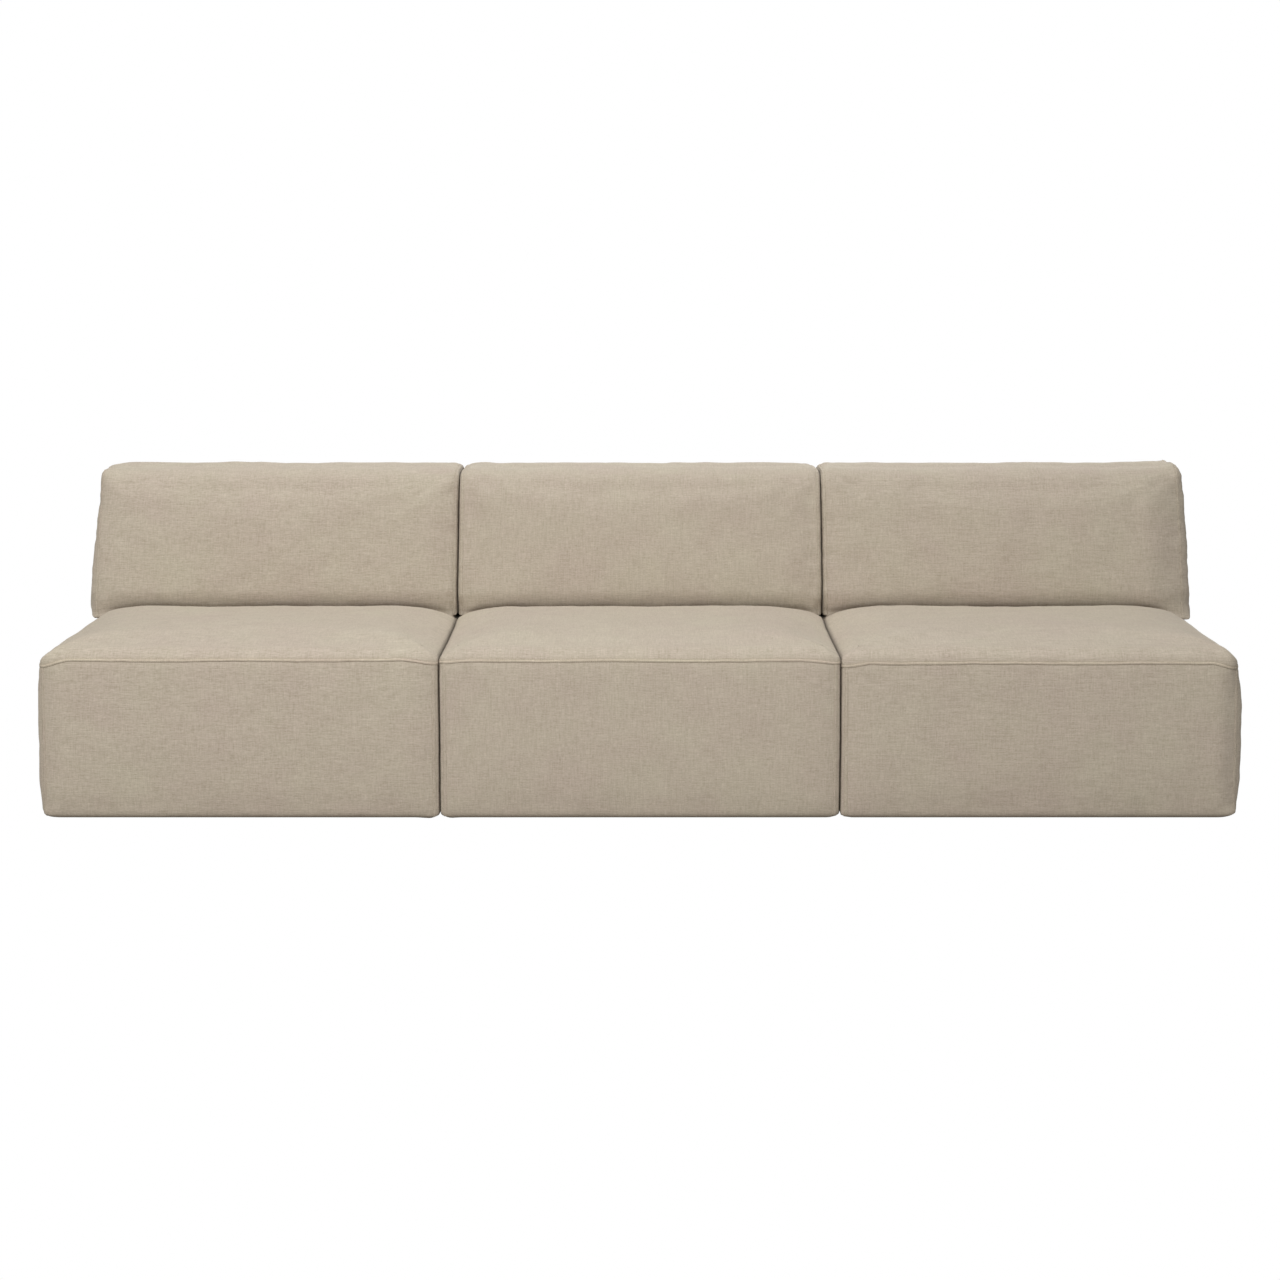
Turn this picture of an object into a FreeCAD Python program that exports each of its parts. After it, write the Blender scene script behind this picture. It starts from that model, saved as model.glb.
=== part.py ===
import FreeCAD, Part
import math
import os
from FreeCAD import Placement, Rotation, Vector

# An armless three-seat sofa made of three separate upholstered modules.
#
# Each module is a seat block that reaches almost to the floor and a leaning back block.
# The seat block is a plywood box on four glides. Woven webbing closes it above, and a felt
# pad, a crowned foam slab and foam sheets round the box fill a loose linen cover, which is
# turned in under the box. The back block is a pine frame with a plywood panel behind it, in
# foam, in a zipped linen cover. It stands on the rear deck of the seat, held by two steel
# tongues that reach up into sleeves on its frame, and lifts off along them. The outer
# modules hang on the middle one by downturned hooks in upturned catches, and lift off.
#
# X runs along the sofa, Y from front to back and Z up, in millimetres. A module is drawn
# about X = 0 with Y counted from the front of its seat, and is then moved to its place.

# Modules
MODULES = ("left", "middle", "right")
module_pitch = 890.0          # centre to centre
module_gap = 2.0              # between neighbouring covers where they swell most
fit = 0.3                     # between a soft piece and what it lies against

# Outside of the seat cover
seat_depth = 850.0            # front to rear
rear_ledge = 25.0             # what the rear deck leaves behind the foot of the back block
hem_height = 15.0             # underside of the cover above the floor
seat_height = 407.0           # where the flat top begins
middle_rise = 3.0             # further rise to the middle of the top
shoulder_drop = 24.0          # how far the shoulder falls to the top edge
shoulder_run = 94.0           # width of the shoulder
shoulder_round = 62.0         # length of the rounding from shoulder to flat top
edge_round = 21.0             # length of the rounding from side to shoulder
deck_drop = 21.0              # how far the rear deck, which carries the back, lies lower
deck_round = 12.0
side_swell = 2.0              # how far a side swells out past its top and its hem
hem_round = 16.0
seat_corner_round = 16.0      # upright corners, seen from above
cover_thickness = 2.5         # linen and lining, with wadding that rounds off the foam
hem_return = 55.0             # how far the cover turns in under the box

# Outside of the back cover
sofa_height = 738.0
back_thickness = 250.0        # front to rear at its foot
front_lean = 19.0             # degrees from upright
rear_lean = 12.0              # degrees from upright, and the way that it lifts off
belly = 10.0                  # how far the front swells out between foot and top
belly_round = 80.0
front_swell = 7.0             # how far the front swells out between its sides
back_top_round = 44.0         # top edges, seen from the side
back_foot_round = 16.0        # lower edges, seen from the side
back_corner_round = 25.0      # corners, seen from the front
back_crown = 3.0              # rise to the middle of the top
back_edge_round = 18.0        # upright edges, seen from above

# Box of the seat block
ply = 22.0
side_padding = 25.0           # foam sheet between box and cover
padding_foot = 42.0           # height at which the foam sheets end
box_top = 290.0
stretcher_height = 115.0
tongue_rail_height = 140.0
block_leg = 155.0             # triangular corner blocks
block_height = 60.0

# Webbing, felt and dust cover
strap_count = 4               # each way
strap_width = 80.0
strap_thickness = 2.0
strap_pitch = 190.0
strap_landing = 18.0          # length of a strap on the rail that carries it
felt_thickness = 5.0
dust_cover_thickness = 1.0

# Glides
glide_width = 40.0            # square, with its corners cut off
glide_corner = 10.0
glide_inset = 58.0            # from the inner faces of the rails to its centre

# Tongues, their bolts and their sleeves
tongue_spacing = 380.0
tongue_width = 40.0
tongue_thickness = 6.0
tongue_reach = 165.0          # above the deck, along its lean
tongue_hook = 16.0            # turned forward under its rail
tongue_bend = 286.0           # height at which it begins to lean
tongue_bend_round = 12.0
tongue_taper = 9.0            # lead-in at its tip
slot_clearance = 3.0          # round a tongue in cloth, felt and foam
bolt_diameter = 10.0
bolt_clearance = 0.2
bolt_head_width = 17.0
bolt_head_height = 6.4
nut_height = 8.0
sleeve_wall = 2.0
sleeve_clearance = 0.6
sleeve_length = 230.0
sleeve_ear = 16.0

# Frame of the back block
frame_depth = 30.0
frame_rail_height = 55.0
frame_post_width = 60.0
frame_side_padding = 34.0
frame_top_padding = 62.0
frame_foot_padding = 20.0
rear_padding = 26.0
panel_thickness = 4.0

# Zip in the rear of the back cover
zip_margin = 54.0             # between each end of the zip and the side of the cover
zip_height = 46.0             # above the foot of the rear face, along it
zip_width = 12.0
tape_thickness = 1.0
tape_depth = 1.0              # below the face of the cover
coil_width = 5.6
coil_height = 1.5
slider_length = 14.0
slider_wall = 1.2
slider_clearance = 0.3
slider_margin = 12.0          # between the parked slider and the end of the coil
lug_thickness = 2.0
lug_rim = 1.2
pin_diameter = 1.6
pin_clearance = 0.06
pull_width = 9.0
pull_length = 30.0
pull_thickness = 1.5
pull_window_width = 6.0
pull_window_length = 8.0
pull_corner = 2.5

# Hooks and catches between modules
link_plate = 2.5
link_length = 60.0
link_reach = 74.0             # from the middle of the gap to the inner end of a plate
link_drop = 12.0              # how far the catch is stepped down
link_lip = 6.5                # depth of the hook's lip
link_overlap = 14.0           # how far the catch reaches past the middle of the gap
link_step = 8.0               # from the middle of the gap to the catch's step
link_play = 0.5
link_places = (210.0, 640.0)  # from the front of the seat

half_width = (module_pitch - module_gap) / 2
zip_length = 2 * (half_width - zip_margin)
lining = cover_thickness + fit
deck_padding = lining + side_swell + side_padding
box_half_width = half_width - deck_padding
box_front = deck_padding
box_rear = seat_depth - deck_padding
box_bottom = hem_height + lining
felt_bottom = box_top + 2 * strap_thickness
foam_bottom = felt_bottom + felt_thickness
deck_height = seat_height - deck_drop
back_foot = deck_height + fit
back_rear = seat_depth - rear_ledge
back_front = back_rear - back_thickness
sit_depth = back_front - fit
lean_sine = math.sin(math.radians(rear_lean))
lean_cosine = math.cos(math.radians(rear_lean))
FAR = 3000.0
SQUARE = ((-1, -1), (1, -1), (1, 1), (-1, 1))

# Places along the thickness of the back block, from its rear face forwards
panel_rear = lining + rear_padding
frame_rear = panel_rear + panel_thickness
frame_front = frame_rear + frame_depth
tongue_middle = frame_front + sleeve_clearance + tongue_thickness / 2
sleeve_front = tongue_middle + tongue_thickness / 2 + sleeve_clearance + sleeve_wall

# Places along the height of the back block's frame, up its rear face
frame_foot = (lining + frame_foot_padding - panel_rear * lean_sine) / lean_cosine
frame_head = sofa_height - back_crown - lining - frame_top_padding - back_foot
frame_head = (frame_head - frame_front * lean_sine) / lean_cosine
frame_half_width = half_width - side_swell - lining - frame_side_padding

# The rear face of the back block is the plane T = 0: X along the sofa, S up the rear face
# and T forwards, square to it.
REAR_FACE = Placement(Vector(0, back_rear, back_foot), Rotation(Vector(1, 0, 0), 90 - rear_lean))


def outline(points, inset=0.0, straight=False):
    """A closed face in the XY plane through points (a, b, round). Each corner is rounded by
    an arc that takes the length round of both its sides, or cut straight across."""
    corners = []
    for i, (a, b, length) in enumerate(points):
        here = Vector(a, b, 0)
        before = Vector(*points[i - 1][:2], 0)
        after = Vector(*points[(i + 1) % len(points)][:2], 0)
        start = here + (before - here).normalize() * length
        stop = here + (after - here).normalize() * length
        corners.append((start, here, stop))
    edges = []
    for i, (start, here, stop) in enumerate(corners):
        following = corners[(i + 1) % len(corners)][0]
        if start != stop and straight:
            edges.append(Part.makeLine(start, stop))
        if start != stop and not straight:
            half_angle = (start - here).getAngle(stop - here) / 2
            length = (start - here).Length
            inwards = ((start + stop) * 0.5 - here).normalize()
            top = here + inwards * (length / math.cos(half_angle) - length * math.tan(half_angle))
            edges.append(Part.Arc(start, top, stop).toShape())
        if (following - stop).Length > 1e-6:
            edges.append(Part.makeLine(stop, following))
    wire = Part.Wire(edges)
    if inset:
        wire = wire.makeOffset2D(-inset)
    return Part.Face(wire)


def both_sides(points):
    """Points of the right half, from the bottom up, with their mirror images about a = 0."""
    return points + [(-a, b, length) for a, b, length in reversed(points) if a]


def along_x(face, x0=-FAR / 2, x1=FAR / 2):
    """Extrudes a face drawn as (Y, Z) along X."""
    face.rotate(Vector(), Vector(1, 0, 0), 90)
    face.rotate(Vector(), Vector(0, 0, 1), 90)
    face.translate(Vector(x0, 0, 0))
    return face.extrude(Vector(x1 - x0, 0, 0))


def along_y(face, y0=-FAR / 2, y1=FAR / 2):
    """Extrudes a face drawn as (X, Z) along Y."""
    face.rotate(Vector(), Vector(1, 0, 0), 90)
    face.translate(Vector(0, y0, 0))
    return face.extrude(Vector(0, y1 - y0, 0))


def along_z(face, z0=-FAR / 2, z1=FAR / 2):
    """Extrudes a face drawn as (X, Y) along Z."""
    face.translate(Vector(0, 0, z0))
    return face.extrude(Vector(0, 0, z1 - z0))


def box(x0, x1, y0, y1, z0, z1):
    return Part.makeBox(x1 - x0, y1 - y0, z1 - z0, Vector(x0, y0, z0))


def rear_box(x0, x1, s0, s1, t0, t1):
    """A box in the axes of the back block's rear face."""
    shape = box(x0, x1, s0, s1, t0, t1)
    shape.Placement = REAR_FACE.multiply(shape.Placement)
    return shape


def shared(*shapes):
    result = shapes[0]
    for shape in shapes[1:]:
        result = result.common(shape)
    return result


def single(shape):
    """The one solid that a cut leaves."""
    assert len(shape.Solids) == 1, f"{len(shape.Solids)} solids where one is meant"
    return shape.Solids[0]


# Forms that the covers, their foam and their linings share

def seat_form(inset=0.0, straight=False):
    """The outside of the seat block, drawn in by inset."""
    edge_height = seat_height - shoulder_drop
    swell_height = (hem_height + edge_height) / 2
    hem_half_width = half_width - side_swell
    front_view = both_sides([
        (hem_half_width, hem_height, hem_round),
        (half_width, swell_height, 0),
        (hem_half_width, edge_height, edge_round),
        (hem_half_width - shoulder_run, seat_height, shoulder_round),
        (0, seat_height + middle_rise, 0),
    ])
    side_view = [
        (side_swell, hem_height, hem_round),
        (seat_depth - side_swell, hem_height, hem_round),
        (seat_depth, swell_height, 0),
        (seat_depth - side_swell, deck_height, hem_round),
        (sit_depth, deck_height, 0),
        (sit_depth, seat_height, deck_round),
        (sit_depth / 2, seat_height + middle_rise, 0),
        (side_swell + shoulder_run, seat_height, shoulder_round),
        (side_swell, edge_height, edge_round),
        (0, swell_height, 0),
    ]
    plan = both_sides([
        (half_width, 0, seat_corner_round),
        (half_width, seat_depth, seat_corner_round),
    ])
    return single(shared(
        along_x(outline(side_view, inset, straight)),
        along_y(outline(front_view, inset, straight)),
        along_z(outline(plan, inset, straight)),
    ))


def back_form(inset=0.0, straight=False):
    """The outside of the back block, drawn in by inset."""
    front_slope = math.tan(math.radians(front_lean))
    rear_slope = math.tan(math.radians(rear_lean))
    height = sofa_height - back_foot
    belly_height = back_foot + height / 2
    edge_half_width = half_width - side_swell
    side_view = [
        (back_front, back_foot, back_foot_round),
        (back_rear, back_foot, back_foot_round),
        (back_rear + height * rear_slope, sofa_height, back_top_round),
        (back_front + height * front_slope, sofa_height, back_top_round),
        (back_front + height * front_slope / 2 - belly, belly_height, belly_round),
    ]
    front_view = both_sides([
        (edge_half_width, back_foot, back_foot_round),
        (half_width, belly_height, 0),
        (edge_half_width, sofa_height - back_crown, back_corner_round),
        (0, sofa_height, 0),
    ])
    front_section = both_sides([
        (0, -front_swell, 0),
        (half_width, 0, back_edge_round),
        (half_width, FAR, 0),
    ])
    rear_section = both_sides([
        (half_width, -FAR, 0),
        (half_width, 0, back_edge_round),
    ])
    front = along_z(outline(front_section, inset, straight))
    front.Placement = leaning(front_lean, back_front)
    rear = along_z(outline(rear_section, inset, straight))
    rear.Placement = leaning(rear_lean, back_rear)
    return single(shared(
        along_x(outline(side_view, inset, straight)),
        along_y(outline(front_view, inset, straight)),
        front,
        rear,
    ))


def leaning(lean, y):
    """Tilts what is drawn along Z back by some degrees, about a line at the back's foot."""
    return Placement(Vector(0, y, back_foot), Rotation(Vector(1, 0, 0), -lean))


def tongue_places():
    return (-tongue_spacing / 2, tongue_spacing / 2)


def tongue_foot_middle():
    """Y of the middle of a tongue's upright foot."""
    at_rear_face = REAR_FACE.multVec(Vector(0, 0, tongue_middle))
    return at_rear_face.y - (at_rear_face.z - tongue_bend) * lean_sine / lean_cosine


def tongue_slots(clearance, z0, z1):
    """What two leaning slots for the tongues take out of a layer from z0 to z1."""
    half = tongue_width / 2 + clearance
    depth = tongue_thickness / 2 + clearance
    slots = [
        rear_box(x - half, x + half, -FAR, FAR, tongue_middle - depth, tongue_middle + depth)
        for x in tongue_places()
    ]
    layer = box(-FAR, FAR, -FAR, FAR, z0, z1)
    return Part.makeCompound([slot.common(layer) for slot in slots])


# Seat block

def seat_cover():
    shell = seat_form().cut(seat_form(cover_thickness, straight=True))
    opening = box(
        -half_width + hem_return, half_width - hem_return,
        hem_return, seat_depth - hem_return,
        0, box_bottom,
    )
    slots = tongue_slots(slot_clearance, foam_bottom, deck_height + 1)
    return [single(shell.cut(opening).cut(slots))]


def seat_foam():
    above_felt = box(-FAR, FAR, -FAR, FAR, foam_bottom, FAR)
    slab = seat_form(lining, straight=True).common(above_felt)
    return [single(slab.cut(tongue_slots(slot_clearance, 0, FAR)))]


def padding_sheets():
    """Foam sheets glued to the four outer faces of the box."""
    layer = seat_form(lining, straight=True)
    sheets = []
    for side in (-1, 1):
        outer = side * half_width
        inner = side * box_half_width
        ends = sorted((outer, inner))
        sheets.append(box(*ends, box_front, box_rear, padding_foot, foam_bottom))
    for ends in ((0, box_front), (box_rear, seat_depth)):
        sheets.append(box(-half_width, half_width, *ends, padding_foot, foam_bottom))
    return [single(sheet.common(layer)) for sheet in sheets]


def rail_inside():
    """Half the width and the two ends of the space inside the box."""
    return box_half_width - ply, box_front + ply, box_rear - ply


def tongue_bolt_holes(diameter):
    """Cylinders along Y at the bolts, through the tongue rail and the tongues' feet."""
    y0 = tongue_foot_middle() - tongue_thickness / 2 - ply
    z = box_top - tongue_rail_height / 2
    return [
        Part.makeCylinder(diameter / 2, ply + tongue_thickness, Vector(x, y0, z), Vector(0, 1, 0))
        for x in tongue_places()
    ]


def frame_rails():
    half, front, rear = rail_inside()
    rails = []
    for side in (-1, 1):
        ends = sorted((side * half, side * box_half_width))
        rails.append(box(*ends, box_front, box_rear, box_bottom, box_top))
    rails.append(box(-half, half, box_front, front, box_bottom, box_top))
    rails.append(box(-half, half, rear, box_rear, box_bottom, box_top))
    middle = (front + rear) / 2
    rails.append(box(
        -half, half, middle - ply / 2, middle + ply / 2, box_bottom, box_bottom + stretcher_height
    ))
    tongue_rail_rear = tongue_foot_middle() - tongue_thickness / 2
    tongue_rail = box(
        -half, half, tongue_rail_rear - ply, tongue_rail_rear, box_top - tongue_rail_height, box_top
    )
    holes = Part.makeCompound(tongue_bolt_holes(bolt_diameter + 2 * bolt_clearance))
    rails.append(single(tongue_rail.cut(holes)))
    return rails


def corner_blocks():
    half, front, rear = rail_inside()
    blocks = []
    for side in (-1, 1):
        for y, way in ((front, 1), (rear, -1)):
            corner = [
                (side * half, y, 0),
                (side * (half - block_leg), y, 0),
                (side * half, y + way * block_leg, 0),
            ]
            blocks.append(along_z(outline(corner), box_bottom, box_bottom + block_height))
    return blocks


def strap(z, start, stop, crossings, over_first):
    """A strap from start to stop along the first axis of its outline. It rises over every
    second strap that it crosses, passes under the others and lies flat on its two rails."""
    top = [(start, 0), (start + strap_landing, 0)]
    over = over_first
    for crossing in crossings:
        level = strap_thickness if over else 0
        top += [(crossing - strap_width / 2, level), (crossing + strap_width / 2, level)]
        over = not over
    top += [(stop - strap_landing, 0), (stop, 0)]
    under = [(a, z + b, 0) for a, b in top]
    over_side = [(a, z + b + strap_thickness, 0) for a, b in reversed(top)]
    return outline(under + over_side)


def webbing():
    half, front, rear = rail_inside()
    places = [(i - (strap_count - 1) / 2) * strap_pitch for i in range(strap_count)]
    middle = (front + rear) / 2 - strap_pitch / 8
    straps = []
    for i, place in enumerate(places):
        first = i % 2 == 0
        lengthwise = strap(
            box_top, front - strap_landing, rear + strap_landing,
            [middle + other for other in places], first
        )
        straps.append(along_x(lengthwise, place - strap_width / 2, place + strap_width / 2))
        crosswise = strap(
            box_top, -half - strap_landing, half + strap_landing, places, not first
        )
        straps.append(along_y(
            crosswise, middle + place - strap_width / 2, middle + place + strap_width / 2
        ))
    return straps


def felt_pad():
    pad = box(-box_half_width, box_half_width, box_front, box_rear, felt_bottom, foam_bottom)
    return [single(pad.cut(tongue_slots(slot_clearance, box_top, foam_bottom + 1)))]


def dust_cover():
    return [box(
        -half_width + hem_return + fit, half_width - hem_return - fit,
        hem_return + fit, seat_depth - hem_return - fit,
        box_bottom - dust_cover_thickness, box_bottom,
    )]


def glides():
    half, front, rear = rail_inside()
    height = box_bottom - dust_cover_thickness
    side = glide_width / 2
    feet = []
    for x in (glide_inset - half, half - glide_inset):
        for y in (front + glide_inset, rear - glide_inset):
            corners = [(x + a * side, y + b * side, glide_corner) for a, b in SQUARE]
            feet.append(along_z(outline(corners, straight=True), 0, height))
    return feet


def back_tongues():
    front = tongue_foot_middle() - tongue_thickness / 2
    rear = front + tongue_thickness
    rail_bottom = box_top - tongue_rail_height
    half = tongue_thickness / 2
    turn = half * math.tan(math.radians(rear_lean) / 2)
    tip_front = REAR_FACE.multVec(Vector(0, tongue_reach, tongue_middle + half))
    tip_rear = REAR_FACE.multVec(Vector(0, tongue_reach, tongue_middle - half))
    side_view = [
        (front - tongue_hook, rail_bottom - tongue_thickness, 0),
        (rear, rail_bottom - tongue_thickness, 0),
        (rear, tongue_bend - turn, tongue_bend_round),
        (tip_rear.y, tip_rear.z, 0),
        (tip_front.y, tip_front.z, 0),
        (front, tongue_bend + turn, tongue_bend_round),
        (front, rail_bottom, 0),
        (front - tongue_hook, rail_bottom, 0),
    ]
    top = tongue_reach
    corner = [
        (tongue_width / 2 + 1, top + 1, 0),
        (tongue_width / 2 - tongue_taper - 1, top + 1, 0),
        (tongue_width / 2 + 1, top - 2 * tongue_taper - 1, 0),
    ]
    holes = Part.makeCompound(tongue_bolt_holes(bolt_diameter + 2 * bolt_clearance))
    tongues = []
    for x in tongue_places():
        tongue = along_x(outline(side_view), x - tongue_width / 2, x + tongue_width / 2)
        for side in (-1, 1):
            cut = along_z(outline([(side * a, b, c) for a, b, c in corner]))
            cut.Placement = REAR_FACE.multiply(cut.Placement)
            cut.translate(Vector(x, 0, 0))
            tongue = tongue.cut(cut)
        tongues.append(single(tongue.cut(holes)))
    return tongues


def hexagon(width, x, y0, y1, z):
    """A six-sided bolt head or nut along Y."""
    radius = width / math.sqrt(3)
    corners = [
        (x + radius * math.cos(math.radians(a)), z + radius * math.sin(math.radians(a)), 0)
        for a in range(0, 360, 60)
    ]
    return along_y(outline(corners), y0, y1)


def tongue_bolts():
    """A bolt from behind each tongue through its rail, with its nut in front."""
    y1 = tongue_foot_middle() + tongue_thickness / 2
    y0 = y1 - tongue_thickness - ply
    bolts = []
    for shank in tongue_bolt_holes(bolt_diameter):
        x, z = shank.BoundBox.Center.x, shank.BoundBox.Center.z
        head = hexagon(bolt_head_width, x, y1, y1 + bolt_head_height, z)
        nut = hexagon(bolt_head_width, x, y0 - nut_height, y0, z)
        bolts.append(single(shank.fuse(head).fuse(nut).removeSplitter()))
    return bolts


# Hooks and catches. Points are (X from the middle of the gap, Z), with the hook's module on
# the negative side.

def hook_points():
    top = hem_height
    lip = -link_overlap + link_plate + link_play
    return [
        (-link_reach, top - link_plate, 0),
        (lip, top - link_plate, 0),
        (lip, top - link_plate - link_lip, 0),
        (lip + link_plate, top - link_plate - link_lip, 0),
        (lip + link_plate, top, 0),
        (-link_reach, top, 0),
    ]


def catch_points():
    top = hem_height
    low = top - link_drop
    return [
        (link_reach, top, 0),
        (link_step, top, 0),
        (link_step, low + link_plate, 0),
        (-link_overlap + link_plate, low + link_plate, 0),
        (-link_overlap + link_plate, top - link_plate - link_play, 0),
        (-link_overlap, top - link_plate - link_play, 0),
        (-link_overlap, low, 0),
        (link_step + link_plate, low, 0),
        (link_step + link_plate, top - link_plate, 0),
        (link_reach, top - link_plate, 0),
    ]


def connectors(module):
    """Hooks on an outer module, catches on both sides of the middle one."""
    plates = []
    seams = {"left": (1,), "middle": (-1, 1), "right": (-1,)}[module]
    for side in seams:
        points = catch_points() if module == "middle" else hook_points()
        way = -side if module == "middle" else side
        seam = side * module_pitch / 2
        drawn = [(seam + way * a, b, c) for a, b, c in points]
        for y in link_places:
            plates.append(along_y(outline(drawn), y - link_length / 2, y + link_length / 2))
    return plates


# Back block

def back_cover():
    shell = back_form().cut(back_form(cover_thickness, straight=True))
    slots = tongue_slots(slot_clearance, back_foot - 1, back_foot + lining)
    slit = rear_box(
        -zip_length / 2, zip_length / 2,
        zip_height - zip_width / 2, zip_height + zip_width / 2,
        -1, lining,
    )
    return [single(shell.cut(slots).cut(slit))]


def sleeve_ends():
    return frame_foot, frame_foot + sleeve_length


def back_foam():
    """A thick slab before the frame, and a tray of thinner foam behind and round it."""
    block = back_form(lining, straight=True)
    half = tongue_width / 2 + sleeve_clearance + sleeve_wall + sleeve_ear + fit
    top = sleeve_ends()[1] + fit
    channels = [
        rear_box(x - half, x + half, -FAR, top, frame_front, sleeve_front + fit)
        for x in tongue_places()
    ]
    front = rear_box(-FAR, FAR, -FAR, FAR, frame_front, FAR)
    slab = block.common(front).cut(Part.makeCompound(channels))
    behind = rear_box(-FAR, FAR, -FAR, FAR, -FAR, frame_front)
    hollow = rear_box(
        -frame_half_width, frame_half_width, frame_foot, frame_head, panel_rear, FAR
    )
    tray = block.common(behind).cut(hollow).cut(tongue_slots(slot_clearance, 0, FAR))
    return [single(slab), single(tray)]


def back_frame():
    foot, head = frame_foot, frame_head
    post = frame_half_width - frame_post_width
    pieces = []
    for side in (-1, 1):
        ends = sorted((side * post, side * frame_half_width))
        pieces.append(rear_box(*ends, foot, head, frame_rear, frame_front))
    pieces.append(rear_box(-post, post, foot, foot + frame_rail_height, frame_rear, frame_front))
    pieces.append(rear_box(-post, post, head - frame_rail_height, head, frame_rear, frame_front))
    return pieces


def back_panel():
    return [rear_box(
        -frame_half_width, frame_half_width, frame_foot, frame_head, panel_rear, frame_rear
    )]


def tongue_sockets():
    """Steel of hat section on the front of the frame, closed behind by the two rails."""
    inner = tongue_width / 2 + sleeve_clearance
    outer = inner + sleeve_wall
    section = both_sides([
        (inner, frame_front, 0),
        (outer + sleeve_ear, frame_front, 0),
        (outer + sleeve_ear, frame_front + sleeve_wall, 0),
        (outer, frame_front + sleeve_wall, 0),
        (outer, sleeve_front, 0),
    ])
    inside = [
        (-inner, sleeve_front - sleeve_wall, 0),
        (inner, sleeve_front - sleeve_wall, 0),
    ]
    section += inside
    low, high = sleeve_ends()
    sleeves = []
    for x in tongue_places():
        sleeve = along_y(outline([(x + a, b, c) for a, b, c in section]), low, high)
        sleeve.Placement = REAR_FACE.multiply(sleeve.Placement)
        sleeves.append(single(sleeve))
    return sleeves


def zip_tape():
    """Two tapes that fill the slit in the cover, and the coil between them."""
    half = zip_length / 2
    tape = rear_box(
        -half, half, zip_height - zip_width / 2, zip_height + zip_width / 2,
        tape_depth, tape_depth + tape_thickness,
    )
    coil = rear_box(
        -half + slider_margin, half - slider_margin,
        zip_height - coil_width / 2, zip_height + coil_width / 2,
        tape_depth - coil_height, tape_depth,
    )
    return [single(tape.fuse(coil).removeSplitter())]


def slider_middle():
    """X of the parked slider's middle."""
    return -zip_length / 2 + 2 * slider_margin + slider_length / 2


def pin_height():
    """How far the pull's pin lies outside the rear face of the cover."""
    plate = coil_height - tape_depth + slider_clearance + slider_wall
    return plate + pin_diameter / 2 + pin_clearance + lug_rim / 2


def zip_slider():
    x = slider_middle()
    half = slider_length / 2
    inner = coil_width / 2 + slider_clearance
    outer = inner + slider_wall
    top = tape_depth - coil_height - slider_clearance
    body = rear_box(x - half, x + half, zip_height - outer, zip_height + outer,
                    top - slider_wall, tape_depth - slider_clearance)
    channel = rear_box(x - half, x + half, zip_height - inner, zip_height + inner, top, tape_depth)
    hole = pin_diameter / 2 + pin_clearance
    start = Vector(x - lug_thickness / 2, zip_height, -pin_height())
    ring = Part.makeCylinder(hole + lug_rim, lug_thickness, start, Vector(1, 0, 0))
    bore = Part.makeCylinder(hole, lug_thickness, start, Vector(1, 0, 0))
    for shape in (ring, bore):
        shape.Placement = REAR_FACE.multiply(shape.Placement)
    return [single(body.cut(channel).fuse(ring).cut(bore).removeSplitter())]


def zip_pull():
    """The pull hangs upright from the lug by a pin across its window."""
    centre = REAR_FACE.multVec(Vector(slider_middle(), zip_height, -pin_height()))
    half = pull_width / 2
    tab = both_sides([
        (half, -pull_length, pull_corner),
        (half, pin_diameter / 2, 0),
    ])
    plate = along_y(outline(tab, straight=True), -pull_thickness / 2, pull_thickness / 2)
    window = box(-pull_window_width / 2, pull_window_width / 2, -half, half,
                 -pull_window_length, pull_length)
    pin = Part.makeCylinder(
        pin_diameter / 2, pull_window_width, Vector(-pull_window_width / 2, 0, 0), Vector(1, 0, 0)
    )
    pull = plate.cut(window).fuse(pin)
    pull.translate(centre)
    return [single(pull)]


PIECES = {
    "seat_cover": seat_cover,
    "seat_foam": seat_foam,
    "side_padding": padding_sheets,
    "frame_rails": frame_rails,
    "corner_blocks": corner_blocks,
    "webbing": webbing,
    "felt_pad": felt_pad,
    "dust_cover": dust_cover,
    "glides": glides,
    "back_tongues": back_tongues,
    "tongue_bolts": tongue_bolts,
    "back_frame": back_frame,
    "back_panel": back_panel,
    "back_foam": back_foam,
    "back_cover": back_cover,
    "tongue_sockets": tongue_sockets,
    "zip_tape": zip_tape,
    "zip_slider": zip_slider,
    "zip_pull": zip_pull,
}


def main():
    os.makedirs("parts", exist_ok=True)
    pieces = {name: make() for name, make in PIECES.items()}
    covers = Part.makeCompound(pieces["seat_cover"] + pieces["back_cover"])
    middle = covers.optimalBoundingBox(False).Center.y
    for i, module in enumerate(MODULES):
        place = Vector((i - 1) * module_pitch, -middle, 0)
        for name, solids in {**pieces, "connectors": connectors(module)}.items():
            shape = Part.makeCompound(solids) if len(solids) > 1 else solids[0].copy()
            shape.translate(place)
            shape.exportStep(f"parts/{name}_{module}.step")


main()
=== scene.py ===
import math

import bmesh
import bpy
import numpy as np
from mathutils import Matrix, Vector
from mathutils.bvhtree import BVHTree


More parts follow.
